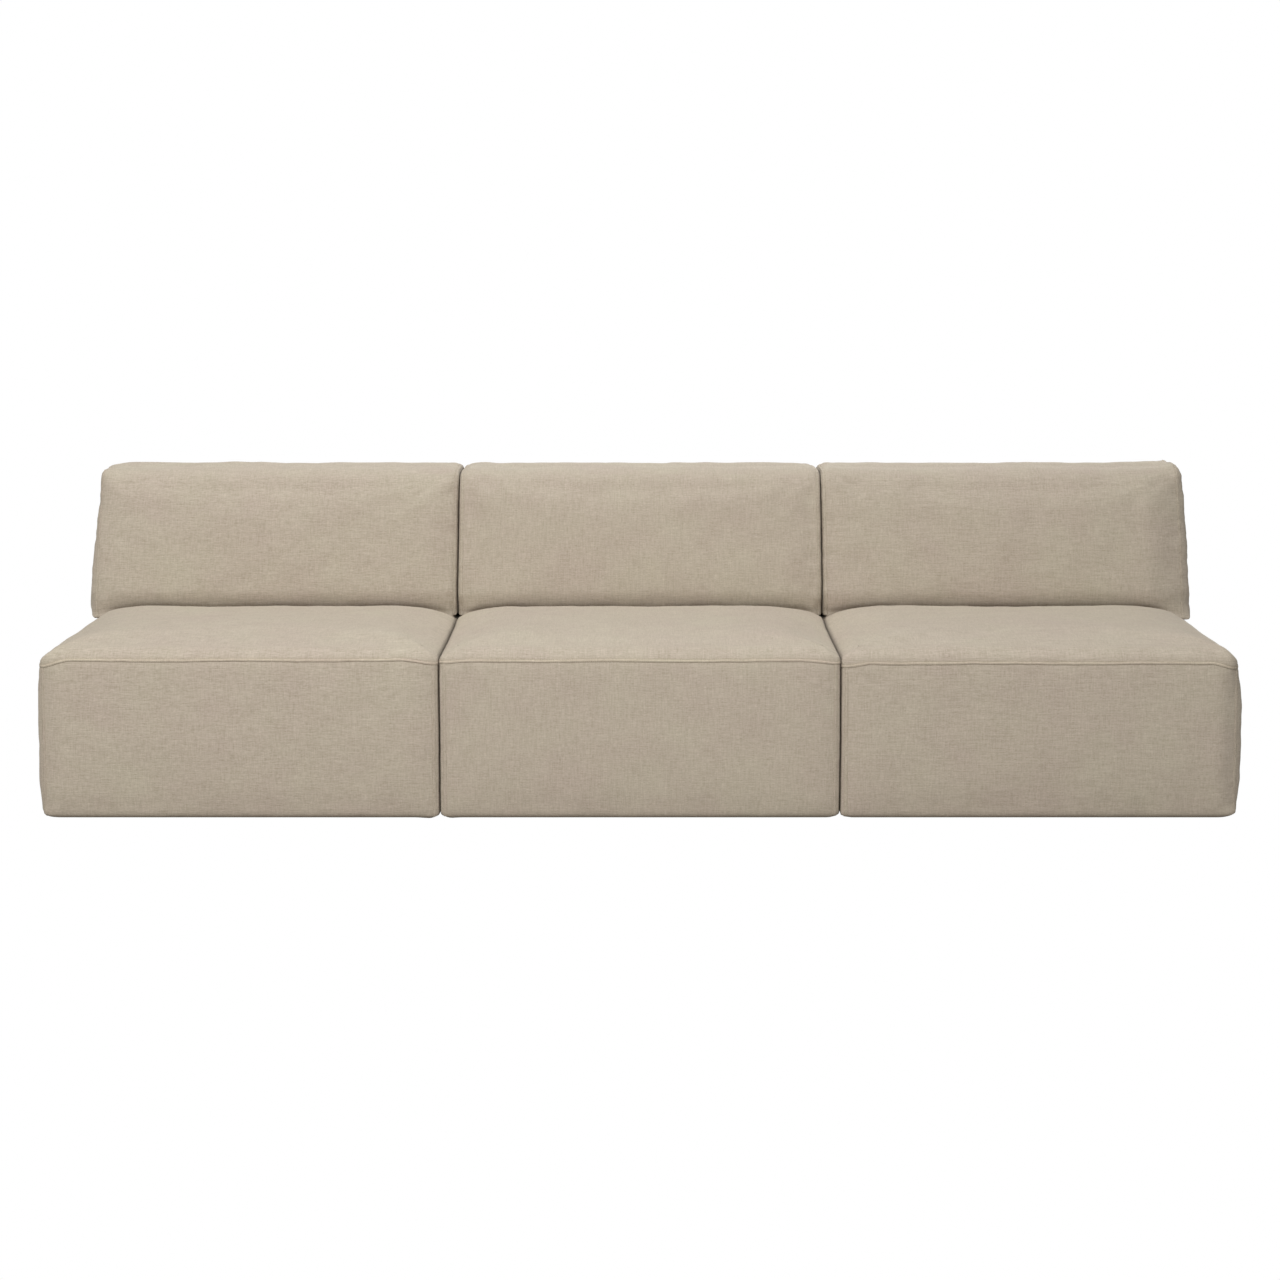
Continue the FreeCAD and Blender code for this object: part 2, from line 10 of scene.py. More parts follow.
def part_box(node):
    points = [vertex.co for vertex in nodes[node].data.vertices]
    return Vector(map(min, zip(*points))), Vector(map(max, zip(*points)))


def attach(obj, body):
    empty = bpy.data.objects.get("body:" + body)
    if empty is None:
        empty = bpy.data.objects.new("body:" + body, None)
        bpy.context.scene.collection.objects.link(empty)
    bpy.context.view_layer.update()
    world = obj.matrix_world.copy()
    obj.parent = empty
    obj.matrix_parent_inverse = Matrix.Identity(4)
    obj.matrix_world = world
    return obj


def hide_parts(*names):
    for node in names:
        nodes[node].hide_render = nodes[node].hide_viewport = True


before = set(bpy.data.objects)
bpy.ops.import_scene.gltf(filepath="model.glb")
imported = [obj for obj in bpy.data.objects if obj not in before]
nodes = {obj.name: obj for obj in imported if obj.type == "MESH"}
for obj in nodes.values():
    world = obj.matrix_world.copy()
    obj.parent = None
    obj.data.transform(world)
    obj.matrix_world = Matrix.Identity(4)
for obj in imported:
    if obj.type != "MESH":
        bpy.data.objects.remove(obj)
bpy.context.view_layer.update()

# An armless sofa of three modules, in loose linen covers with felled seams. Each cover is a
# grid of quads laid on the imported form, filled by a short cloth simulation with its seams
# held, and then subdivided, puckered and stitched. Lengths are in metres.

MODULES = ("left", "middle", "right")

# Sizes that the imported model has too
HALF = 0.444                   # half the width of a cover
SEAT_HEIGHT = 0.407
DECK = 0.386
HEM = 0.015
HEM_RETURN = 0.055
SIT_DEPTH = 0.5747
SEAT_DEPTH = 0.85
BACK_FRONT = 0.575             # the foot of the back block
BACK_REAR = 0.825
BACK_FOOT = 0.3863
TOP = 0.738
REAR_TILT = math.radians(12)
FRONT_SLOPE = math.tan(math.radians(19))
REAR_SLOPE = math.tan(REAR_TILT)
TONGUE = 0.19                  # from the middle of a module to its tongues
SLOT = (0.046, 0.0125)
SLOT_Y = 0.7571                # where the tongues pass the deck
SLOT_ENDS = [side * TONGUE + end * SLOT[0] / 2 for side in (-1, 1) for end in (-1, 1)]
ZIP = (0.78, 0.012, 0.046)     # length, width, height above the foot up the rear face

# Seams
SEAM_HEIGHT = 0.364            # the seam round the top edge of a seat
PITCH = 0.0132                 # of the grid that is simulated
SEAM_IN = 0.011                # from a seat's sides to its corner seams
MODULE_PITCH = 0.89
BAND_V = 20                    # where the seams lie on the UV map, and how wide they are there
BAND_WIDTH = 0.01
BAND_PITCH = 0.0045            # of the rows of points along a band
SIDE_SEAM = 0.007              # from a back block's sides to the seams of its side panels

Y0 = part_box("seat_cover_middle")[0].y      # the front of the seats


def centre(module):
    low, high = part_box(f"dust_cover_{module}")
    return (low.x + high.x) / 2


def lines(marks, pitch):
    """Coordinates from the first mark to the last, through every mark, about pitch apart."""
    found = [marks[0]]
    for a, b in zip(marks, marks[1:]):
        count = max(1, round((b - a) / pitch))
        found += [a + (b - a) * i / count for i in range(1, count + 1)]
    return found


def rounded(low, high, core, inner, pitch, steps=3):
    """Lines from low to high that lie closer within core of both ends, where a rounding
    spreads them out again, and pass through the inner marks."""
    turn = [core * math.tan(math.pi / 4 * i / steps) for i in range(1, steps + 1)]
    start = [low + core - t for t in reversed(turn)]
    stop = [high - core + t for t in turn]
    marks = [low + core, *inner, high - core]
    return start + lines(marks, pitch) + stop


def wander(points, size, seed, waves=20):
    """A smooth random field over points, with features of about that size."""
    rng = np.random.default_rng(seed)
    ways = rng.normal(size=(waves, 3))
    ways *= 2 * math.pi / size / np.linalg.norm(ways, axis=1)[:, None]
    ways *= rng.uniform(0.6, 1.4, (waves, 1))
    phases = rng.uniform(0, 2 * math.pi, waves)
    return np.cos(points @ ways.T + phases).sum(1) * math.sqrt(1 / waves)


def fade(distance, reach):
    """1 where distance is 0, falling smoothly to 0 at reach."""
    t = np.clip(1 - np.abs(distance) / reach, 0, 1)
    return t * t * (3 - 2 * t)


def meets(x, i):
    """Whether a point at x lies on the side of a module that has a neighbour."""
    return (x > 0) & (i < 2) | (x < 0) & (i > 0)


def is_free(x, i):
    """Whether it lies on a side at an end of the sofa."""
    return (x < 0) & (i == 0) | (x > 0) & (i == 2)


def at_ends(y, reach):
    """Whether a point of a seat lies near its front or rear."""
    return (y < reach) | (y > SEAT_DEPTH - reach)


def at_slot(x, off, reach=(SLOT[0] / 2, SLOT[1] / 2)):
    """Whether a point is within reach of a tongue's slot, off which it lies in y."""
    return abs(abs(x) - TONGUE) < reach[0] and abs(off) < reach[1]


def step(x, low, high):
    """0 below low and 1 above high, rising smoothly between."""
    t = np.clip((x - low) / (high - low), 0, 1)
    return t * t * (3 - 2 * t)


def read(mesh):
    points = np.empty(len(mesh.vertices) * 3)
    mesh.vertices.foreach_get("co", points)
    return points.reshape(-1, 3)


def write(mesh, points):
    mesh.vertices.foreach_set("co", np.asarray(points, float).ravel())
    mesh.update()


def normals(mesh):
    found = np.empty(len(mesh.vertices) * 3)
    mesh.vertex_normals.foreach_get("vector", found)
    return found.reshape(-1, 3)


def add(name, points, faces, smooth=True):
    mesh = bpy.data.meshes.new(name)
    mesh.from_pydata([tuple(p) for p in points], [], faces)
    mesh.validate()
    mesh.polygons.foreach_set("use_smooth", [smooth] * len(mesh.polygons))
    piece = bpy.data.objects.new(name, mesh)
    bpy.context.scene.collection.objects.link(piece)
    return piece


def applied(piece):
    """Turns what a piece's modifiers make into its mesh."""
    made = bpy.data.meshes.new_from_object(
        piece.evaluated_get(bpy.context.evaluated_depsgraph_get())
    )
    old = piece.data
    piece.modifiers.clear()
    piece.data = made
    made.name = piece.name
    bpy.data.meshes.remove(old)


def surface_of(piece):
    mesh = piece.data
    return BVHTree.FromPolygons(
        [v.co for v in mesh.vertices], [tuple(p.vertices) for p in mesh.polygons]
    )


def set_threads(piece, uvs):
    """The UV map Threads, from coordinates for each vertex."""
    layer = piece.data.uv_layers.new(name="Threads")
    used = np.empty(len(piece.data.loops), int)
    piece.data.loops.foreach_get("vertex_index", used)
    layer.data.foreach_set("uv", uvs[used].ravel())


# Covers: a grid on the surface of a box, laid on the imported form

def box_grid(xs, ys, zs, keep):
    """Grid points on a box and its quads facing outwards, as (side, corners). keep says of a
    side and the middle of a quad whether there is cloth."""
    found, points, quads = {}, [], []
    limits = (len(xs) - 1, len(ys) - 1, len(zs) - 1)

    def at(i, j, k):
        key = (i, j, k)
        if key not in found:
            found[key] = len(points)
            points.append((xs[i], ys[j], zs[k]))
        return found[key]

    for side, axis, end, flip in (
        ("bottom", 2, 0, True), ("top", 2, limits[2], False), ("front", 1, 0, False),
        ("rear", 1, limits[1], True), ("left", 0, 0, True), ("right", 0, limits[0], False),
    ):
        first, second = [n for n in range(3) if n != axis]
        for a in range(limits[first]):
            for b in range(limits[second]):
                spots = np.full((4, 3), end)
                spots[:, first] = a, a + 1, a + 1, a
                spots[:, second] = b, b, b + 1, b + 1
                middle = np.mean([(xs[i], ys[j], zs[k]) for i, j, k in spots], axis=0)
                if keep(side, *middle):
                    corners = [at(*s) for s in spots]
                    quads.append((side, corners[::-1] if flip else corners))
    return np.array(points), quads


def lay_on(form, points, core, warp, dodge):
    """Each point of the box moved straight towards the box's core until it meets the form.
    dodge gives the point at which to look instead where the form has an opening."""
    tree = surface_of(form)
    low, high = points.min(0), points.max(0)
    laid = np.empty_like(points)
    for n, point in enumerate(points):
        seen = dodge(point)
        anchor = np.clip(seen, low + core, high - core)
        start, stop = Vector(warp(anchor)), Vector(warp(seen))
        way = (stop - start).normalized()
        hit = tree.ray_cast(start + way * 0.6, -way)[0]
        shift = Vector(warp(point)) - stop
        laid[n] = (hit if hit is not None else stop) + shift
    return laid


def panel_map(mesh, sides, box_points, top):
    """A UV map in metres along the threads: the top panel runs on over the front edge."""
    layer = mesh.uv_layers.new(name="Threads")
    uv = np.empty((len(mesh.loops), 2))
    n = 0
    for face, side in zip(mesh.polygons, sides):
        middle = box_points[list(face.vertices)].mean(0)
        for v in face.vertices:
            x, y, z = box_points[v]
            if side in ("front", "rear"):
                uv[n] = (x if side == "front" else x + 3, z)
            elif side in ("top", "bottom"):
                uv[n] = (x, top + y if side == "top" else -y)
            elif middle[2] > SEAM_HEIGHT and top < 0.5:
                way = 1 if side == "right" else -1
                uv[n] = (box_points[v][0] + way * (top - z), top + y)
            else:
                uv[n] = (y + (7 if side == "right" else 11), z)
            n += 1
    layer.data.foreach_set("uv", uv.ravel())


FRAMES = 12
PRESSURE = 3.0
SLACK = 0.004


def filled(piece, held, cap):
    """A short cloth simulation: pressure fills the cover out between its held seams. cap is
    how far each point may move."""
    start, ups = read(piece.data), normals(piece.data)
    group = piece.vertex_groups.new(name="held")
    for weight in np.unique(np.round(held, 1)):
        chosen = np.nonzero(np.round(held, 1) == weight)[0].tolist()
        if weight > 0:
            group.add(chosen, float(weight), "REPLACE")
    cloth = piece.modifiers.new("cloth", "CLOTH")
    s = cloth.settings
    s.quality = 4
    s.mass = 0.3
    s.tension_stiffness = s.compression_stiffness = 25
    s.shear_stiffness = 8
    s.bending_stiffness = 1.5
    s.tension_damping = s.compression_damping = 12
    s.use_pressure = True
    s.uniform_pressure_force = PRESSURE
    s.shrink_min = -SLACK
    s.vertex_group_mass = "held"
    s.effector_weights.gravity = 0
    cloth.point_cache.frame_start = 1
    cloth.point_cache.frame_end = FRAMES
    scene = bpy.context.scene
    for n in range(1, FRAMES + 1):
        scene.frame_set(n)
    applied(piece)
    scene.frame_set(1)
    move = read(piece.data) - start
    inward = np.minimum((move * ups).sum(1), 0)
    move -= ups * (0.85 * inward)[:, None]
    length = np.linalg.norm(move, axis=1)
    room = np.maximum(cap, 1e-6)
    write(piece.data, start + move * (room / (room + length))[:, None])
    piece.vertex_groups.clear()


def subdivided(piece):
    smooth = piece.modifiers.new("smooth", "SUBSURF")
    smooth.levels = smooth.render_levels = 1
    applied(piece)


def relaxed(mesh, points, held, times):
    """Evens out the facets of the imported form."""
    ends = np.empty(len(mesh.edges) * 2, int)
    mesh.edges.foreach_get("vertices", ends)
    a, b = ends.reshape(-1, 2).T
    count = np.bincount(a, minlength=len(points)) + np.bincount(b, minlength=len(points))
    for _ in range(times):
        total = np.zeros_like(points)
        np.add.at(total, a, points[b])
        np.add.at(total, b, points[a])
        points = points + (total / count[:, None] - points) * (0.5 * (1 - held))[:, None]
    return points


# How far the seam of each seat dips at its left and right corner
SEAM_DIP = ((0.014, 0.008), (0.004, 0.005), (0.008, 0.012))
SEAM_LEVEL = (0.003, 0.002, -0.003)
LIFT = 0.006                   # how far the filling lifts the top of a seat, in front of the back


def lift(y):
    return LIFT * (1 - step(y, 0.553, 0.5747))


def seam_height(i, x, y):
    """Height of the top seam: it dips towards the corners."""
    left, right = SEAM_DIP[i]
    dip = left * fade(x + HALF, 0.07) + right * fade(x - HALF, 0.07)
    return SEAM_HEIGHT + lift(y) + SEAM_LEVEL[i] - dip + 0.0008 * np.cos(x * 17 + y * 11 + i)


def crease(points, a, b, width, depth):
    """A soft fold from a to b, deepest halfway."""
    a, b = np.array(a), np.array(b)
    along = np.clip((points - a) @ (b - a) / ((b - a) @ (b - a)), 0, 1)
    apart = np.linalg.norm(points - a - along[:, None] * (b - a), axis=1)
    return -depth * np.exp(-((apart / width) ** 2)) * np.sin(along * math.pi) ** 0.7


def press_together(x, side, i):
    """Sides between two modules, pressed flat on one another with a hair's breadth between.
    side is how far a point's normal points sideways."""
    limit = HALF + 0.0005
    short = np.maximum(limit - 0.0003 - np.abs(x), 0)
    full = x + np.sign(x) * short * step(np.abs(side), 0.45, 0.98)
    over = np.abs(full) - limit
    flat = np.where(over > 0, np.sign(x) * (limit + 0.0002 * np.tanh(over / 0.002)), full)
    return np.where(meets(x, i), flat, x)


def by_side(x, start, stop):
    """Rises from 0 at start inside the side of a module to 1 at stop inside it."""
    return step(np.abs(x), HALF - start, HALF - stop)


def sharpen(points, i, reach, share, front):
    """Narrows the rounding of the front edges that meet a neighbour. front gives, for each
    point, how far it lies behind the front plane."""
    x = points[:, 0]
    aside = np.maximum(HALF - np.abs(x), 0)
    near = fade(np.hypot(aside, front), reach) * meets(x, i) * share
    points[:, 0] += np.sign(x) * aside * near
    points[:, 1] -= np.clip(front, 0, reach) * near


def dress_seat(piece, i, at):
    points, up = read(piece.data), normals(piece.data)
    points[:, 2] += step(points[:, 2], 0.28, 0.36) * lift(points[:, 1] - Y0)
    corner = fade(np.abs(points[:, 0] - at) - HALF, 0.10) * fade(points[:, 1] - Y0 - 0.56, 0.13)
    points[:, 2] += 0.004 * corner * step(points[:, 2], 0.34, 0.38)
    local = points - (at, Y0, 0)
    x, y, z = local.T
    inside = HALF - np.abs(x)
    upright = 1 - np.abs(up[:, 2])
    below_top = z < 0.392
    from_seam = z - seam_height(i, x, y)
    trough = fade(from_seam, 0.013) * below_top
    corner = fade(inside - SEAM_IN, 0.012) * at_ends(y, 0.04) * (from_seam < 0)
    near_seam = fade(from_seam, 0.05) * below_top
    near_corner = fade(inside - SEAM_IN, 0.045) * at_ends(y, 0.05) * (from_seam < 0)
    move = -0.0016 * trough - 0.0012 * corner
    move += 0.0004 * near_seam * wander(local * (1, 1, 0.4), 0.034, 11 + i)
    move += 0.0005 * near_corner * wander(local * (0.4, 1, 1), 0.034, 21 + i)
    move += 0.0010 * wander(local, 0.26, 31 + i) + 0.0005 * wander(local, 0.10, 41 + i)
    skirt = step(-z, -0.10, -0.02)
    turned = step(inside, 0.09, 0.02) * at_ends(y, 0.09)
    move += skirt * 0.0011 * wander(local * (1, 1, 0.2), 0.055, 51 + i)
    move += skirt * turned * 0.0008 * wander(local * (1, 1, 0.25), 0.034, 61 + i)
    for a, b, width, depth in SEAT_FOLDS[i]:
        move += crease(local, a, b, width, depth)
    deck = step(y, SIT_DEPTH - 0.012, SIT_DEPTH) * step(z, 0.375, 0.383)
    move *= 1 - deck
    outer = is_free(x, i)
    side = by_side(x, 0.03, 0.002) * step(z, 0.02, 0.12) * (1 - deck)
    move += outer * side * (0.0045 - (0.0035 if i == 0 else 0.010) * step(z, 0.26, 0.37))
    points = points + up * (move * step(z, 0.0145, 0.03))[:, None]
    low = fade(z - HEM, 0.03) * upright
    points[:, 2] += low * 0.0009 * wander(local * (1, 1, 0), 0.07, 71 + i)
    beside_back = outer * step(y, 0.44, 0.57) * step(z, 0.33, 0.385)
    points[:, 0] -= 0.009 * beside_back * np.sign(x) * by_side(x, 0.12, 0.01)
    top_edge = outer * step(z, 0.366, 0.392) * by_side(x, 0.10, 0.01)
    points[:, 0] -= 0.006 * top_edge * np.sign(x)
    drop = {0: fade(x - HALF, 0.06), 1: 0.8 * fade(x + HALF, 0.05)}.get(i, 0)
    points[:, 2] -= 0.003 * drop * step(-z, -0.07, -0.02)
    points[:, 2] = np.maximum(points[:, 2], HEM - 0.003)
    points[:, 0] -= at
    sharpen(points, i, 0.024, 0.7 * step(-points[:, 2], -0.36, -0.33), points[:, 1] - Y0 + 0.001)
    rolled = outer * step(-y, -0.06, -0.01) * step(z, 0.02, 0.05) * step(-z, -0.40, -0.34)
    points[:, 1] += (0.006, 0, 0.012)[i] * rolled * by_side(x, 0.065, 0.004) ** 1.5
    hem_corner = outer * fade(inside, 0.045) * fade(z - HEM, 0.06)
    points[:, 2] += (0.002, 0, 0.005)[i] * hem_corner
    points[:, 0] = at + press_together(points[:, 0], up[:, 0] * (1 - deck), i)
    write(piece.data, points)


# Soft folds that the photograph shows: from, to, width and depth
SEAT_FOLDS = (
    [
        ((0.36, 0.05, 0.40), (0.43, 0.30, 0.39), 0.012, 0.0016),
        ((-0.43, 0.06, 0.38), (-0.36, 0.16, 0.40), 0.010, 0.0012),
        ((0.30, 0.50, 0.405), (0.42, 0.44, 0.39), 0.012, 0.0014),
    ],
    [
        ((-0.43, 0.05, 0.375), (-0.37, 0.13, 0.40), 0.011, 0.0013),
        ((0.43, 0.04, 0.375), (0.38, 0.14, 0.40), 0.011, 0.0013),
    ],
    [
        ((-0.43, 0.02, 0.375), (-0.30, 0.12, 0.405), 0.012, 0.0022),
        ((-0.40, 0.10, 0.395), (-0.28, 0.17, 0.408), 0.014, 0.0012),
        ((0.43, 0.06, 0.38), (0.36, 0.20, 0.40), 0.011, 0.0013),
    ],
)


def dress_back(piece, i, at):
    points, up = read(piece.data), normals(piece.data)
    local = points - (at, Y0 + BACK_FRONT, BACK_FOOT)
    x, y, s = local.T
    inside = HALF - np.abs(x)
    t = (y - FRONT_SLOPE * s) / (BACK_REAR - BACK_FRONT + (REAR_SLOPE - FRONT_SLOPE) * s)
    trough = fade(inside - SIDE_SEAM, 0.011)
    near = fade(inside - SIDE_SEAM, 0.05)
    zip_zone = (t > 0.9) * fade(s - 0.045, 0.035) * (np.abs(x) < 0.41)
    move = -0.0014 * trough
    move += 0.0009 * near * wander(local * (0.35, 1, 1), 0.030, 111 + i)
    move += 0.0013 * wander(local, 0.22, 121 + i) + 0.0007 * wander(local, 0.09, 131 + i)
    move += 0.0005 * fade(s, 0.08) * wander(local * (1, 0.4, 0.4), 0.035, 141 + i)
    for a, b, width, depth in BACK_FOLDS[i]:
        move += crease(local, a, b, width, depth)
    move *= (1 - zip_zone) * step(s, -0.002, 0.03)
    points = points + up * move[:, None]
    outer = is_free(x, i)
    side = by_side(x, 0.10, 0.005) * outer
    swell = np.interp(s / (TOP - BACK_FOOT), *BACK_SWELL[i])
    points[:, 0] += side * swell * np.sign(x)
    droop = np.where(outer, (0.009, 0, 0.014)[i], 0.007)
    points[:, 2] -= droop * fade(s, 0.05) * by_side(x, 0.075, 0) * step(-t, -0.5, -0.2)
    front = step(-t, -0.35, -0.05)
    points[:, 1] += 0.019 * fade(s, 0.062) * front * step(s, 0.0, 0.012)
    points[:, 1] += BACK_PILLOW[i] * side * front * (1 - fade(s, 0.03))
    high = step(s, 0.27, 0.345)
    left, right = BACK_EARS[i]
    points[:, 2] += high * (left * fade(x + HALF, 0.09) + right * fade(x - HALF, 0.09))
    ripple = by_side(x, 0.02, 0.004) * outer * (1 if i == 2 else 0.3)
    points[:, 0] += 0.0007 * ripple * np.sign(x) * wander(local * (0.2, 0.2, 1), 0.020, 151 + i)
    points[:, 0] -= at
    face = Y0 + BACK_FRONT + FRONT_SLOPE * (points[:, 2] - BACK_FOOT)
    share = 0.75 * (1 - (i == 0) * (points[:, 0] > 0) * 0.8)
    share = share * step(s, 0.01, 0.04) * step(-s, -0.33, -0.29)
    sharpen(points, i, 0.034, share, points[:, 1] - face + 0.006)
    points[:, 0] = at + press_together(points[:, 0], up[:, 0], i)
    write(piece.data, points)


# How far the free side of each outer back block swells, from its foot to its top
BACK_SWELL = (
    ((0, 0.1, 0.5, 0.82, 0.92, 1), (0.012, 0.014, 0.008, 0.002, 0.001, 0.006)),
    ((0, 1), (0, 0)),
    ((0, 0.1, 0.5, 0.8, 0.9, 1), (0.019, 0.018, 0.014, 0.013, 0.011, 0.012)),
)
BACK_PILLOW = (0.005, 0, 0.022)        # how far its front rolls back towards that side
BACK_EARS = ((0.001, 0.003), (0.002, 0.002), (0.003, 0.008))   # top corners, left and right


BACK_FOLDS = (
    [
        ((-0.42, 0.02, 0.05), (-0.33, 0.03, 0.02), 0.012, 0.0020),
        ((0.42, 0.02, 0.06), (0.34, 0.03, 0.02), 0.012, 0.0018),
    ],
    [
        ((-0.42, 0.02, 0.05), (-0.35, 0.03, 0.02), 0.012, 0.0016),
        ((0.42, 0.02, 0.06), (0.35, 0.03, 0.02), 0.012, 0.0016),
    ],
    [
        ((-0.42, 0.10, 0.31), (-0.36, 0.08, 0.26), 0.010, 0.0016),
        ((-0.40, 0.10, 0.32), (-0.33, 0.09, 0.29), 0.009, 0.0012),
        ((0.40, 0.02, 0.05), (0.33, 0.03, 0.02), 0.012, 0.0016),
    ],
)


# Seams and stitches

FELL = (        # across a felled seam, and out of the cloth
    (-0.0048, -0.0012), (-0.0043, 0.0008), (-0.0037, 0.0014), (-0.0029, 0.0005),
    (-0.0020, 0.0014), (0.0, 0.0019), (0.0020, 0.0014), (0.0029, 0.0005), (0.0036, 0.0013),
    (0.0043, 0.0007), (0.0050, -0.0012),
)

BINDING = (     # across the turned edge of a slot
    (-0.0026, -0.0010), (-0.0018, 0.0004), (-0.0006, 0.0009), (0.0006, 0.0009),
    (0.0018, 0.0004), (0.0026, -0.0010),
)


STITCH_ROW = 0.0029            # from the middle of a seam to its stitches
BOUND = (0.0032, 0.002)        # how much wider than an opening, and the radius of its corners
STITCHED = (0.016, 0.006)


def rear_spot(at, x, up, depth):
    """A point of the rear face of a back block: up along the face and depth into it."""
    lean, rise = math.sin(REAR_TILT), math.cos(REAR_TILT)
    y = Y0 + BACK_REAR + up * lean - depth * rise
    return at + x, y, BACK_FOOT + up * rise + depth * lean


def evenly(path, pitch, closed):
    """Points along a path, about pitch apart."""
    path = np.array(path)
    if closed:
        path = np.vstack([path, path[:1]])
    run = np.concatenate([[0], np.cumsum(np.linalg.norm(np.diff(path, axis=0), axis=1))])
    count = max(2, round(run[-1] / pitch))
    at = np.linspace(0, run[-1], count, endpoint=not closed)
    return np.stack([np.interp(at, run, path[:, n]) for n in range(3)], axis=1)


def on_cloth(tree, path, closed):
    """A path's points moved onto the cloth, with its normals evened out along the path."""
    found = [tree.find_nearest(Vector(p)) for p in path]
    spots = np.array([f[0] for f in found])
    ups = np.array([f[1] for f in found])
    for _ in range(3):
        before, after = np.roll(ups, 1, 0), np.roll(ups, -1, 0)
        if not closed:
            before[0], after[-1] = ups[0], ups[-1]
        ups = before + 2 * ups + after
        ups /= np.linalg.norm(ups, axis=1)[:, None]
    return spots, ups


def frame_along(spots, ups, closed):
    ahead = np.roll(spots, -1, 0) - np.roll(spots, 1, 0)
    if not closed:
        ahead[0], ahead[-1] = spots[1] - spots[0], spots[-1] - spots[-2]
    ahead /= np.linalg.norm(ahead, axis=1)[:, None]
    across = np.cross(ups, ahead)
    across /= np.linalg.norm(across, axis=1)[:, None]
    return ahead, across


def band(tree, path, profile, closed, seed, pucker=0.00015, relief=1.0):
    """Points, faces and thread coordinates of a band sewn on the cloth along a path."""
    profile = [(offset, height * relief if height > 0 else height) for offset, height in profile]
    spots, ups = on_cloth(tree, evenly(path, BAND_PITCH, closed), closed)
    ahead, across = frame_along(spots, ups, closed)
    rows, columns = len(spots), len(profile)
    ripple = pucker * wander(spots, 0.011, seed)
    sway = 0.0003 * wander(spots, 0.05, seed + 1)
    points = np.concatenate([
        spots + across * (offset * (1 + 30 * ripple) + sway)[:, None]
        + ups * (height + ripple)[:, None]
        if height > 0 else
        spots + across * (offset + sway)[:, None] + ups * height
        for offset, height in profile
    ])
    faces = []
    for row in range(rows if closed else rows - 1):
        following = (row + 1) % rows
        for column in range(columns - 1):
            a, b = column * rows, (column + 1) * rows
            faces.append((a + row, a + following, b + following, b + row))
    run = np.arange(rows) * BAND_PITCH
    uv = np.concatenate([
        np.stack([run, np.full(rows, offset + BAND_V)], 1) for offset, height in profile
    ])
    return points, faces, uv


def beads(middles, ups, ahead, across, length, radius, height):
    """Points and faces of short rounded beads, such as stitches, that bend down at both ends."""
    ring = [(math.cos(a), math.sin(a)) for a in (0.5, 1.75, 3.0, 4.2, 5.45)]
    points, faces = [], []
    for middle, up, way, side in zip(middles, ups, ahead, across):
        first = len(points)
        points.append(middle - way * length / 2 - up * height)
        for end in (-0.26, 0.26):
            points += [
                middle + way * length * end + side * a * radius + up * b * height
                for a, b in ring
            ]
        points.append(middle + way * length / 2 - up * height)
        last = first + 11
        for n in range(5):
            m = (n + 1) % 5
            faces.append((first, first + 1 + n, first + 1 + m))
            faces.append((first + 1 + n, first + 6 + n, first + 6 + m, first + 1 + m))
            faces.append((last, first + 6 + m, first + 6 + n))
    return points, faces


def thread_line(tree, path, offset, closed, pitch=0.0042):
    """Stitches along a path, offset to one side and pulled into the cloth."""
    spots, ups = on_cloth(tree, evenly(path, pitch, closed), closed)
    ahead, across = frame_along(spots, ups, closed)
    middles = spots + across * offset + ups * 0.0007
    return beads(middles, ups, ahead, across, 0.0033, 0.00042, 0.00042)


def joined(parts):
    """Several (points, faces) as one."""
    points, faces = [], []
    for some, around in parts:
        first = len(points)
        points += list(some)
        faces += [tuple(first + v for v in face) for face in around]
    return points, faces


def loop(width, height, corner):
    """Corners of a rounded rectangle about 0, 0."""
    found = []
    for quarter, (x, y) in enumerate(((1, 1), (-1, 1), (-1, -1), (1, -1))):
        for turn in (0, 0.5, 1):
            angle = math.pi / 2 * (quarter + turn)
            found.append((
                x * (width / 2 - corner) + corner * math.cos(angle),
                y * (height / 2 - corner) + corner * math.sin(angle),
            ))
    return found


def kept_apart(points, i, at):
    """Seams and stitches between two modules, pressed into the gap."""
    points = np.array(points)
    x, limit = points[:, 0] - at, HALF + 0.0008
    points[:, 0] = at + np.where(meets(x, i), np.clip(x, -limit, limit), x)
    return points


def seam_piece(name, bands, shaded_rim, i, at):
    """Bands as one piece. The first may take the seams' own linen, the others the cover's."""
    points, faces = joined([(p, f) for p, f, uv in bands])
    piece = add(name, kept_apart(points, i, at), faces)
    set_threads(piece, np.vstack([uv for p, f, uv in bands]))
    rim = len(bands[0][1]) if shaded_rim else 0
    piece.data.polygons.foreach_set("material_index", [0] * rim + [1] * (len(faces) - rim))
    return piece


def around(tree, middle, ways):
    """Where rays from outside towards a middle meet the cloth."""
    found = []
    for spot, way in zip(middle, ways):
        way = Vector(way).normalized()
        hit = tree.ray_cast(Vector(spot) + way * 2, -way)[0]
        if hit is not None:
            found.append(hit)
    return found


def slot_edges(at, height, wider, corner):
    """The edges of a module's two tongue slots, at some distance from them."""
    return [[
        (at + side * TONGUE + x, Y0 + SLOT_Y + y, height)
        for x, y in loop(SLOT[0] + wider, SLOT[1] + wider, corner)
    ] for side in (-1, 1)]


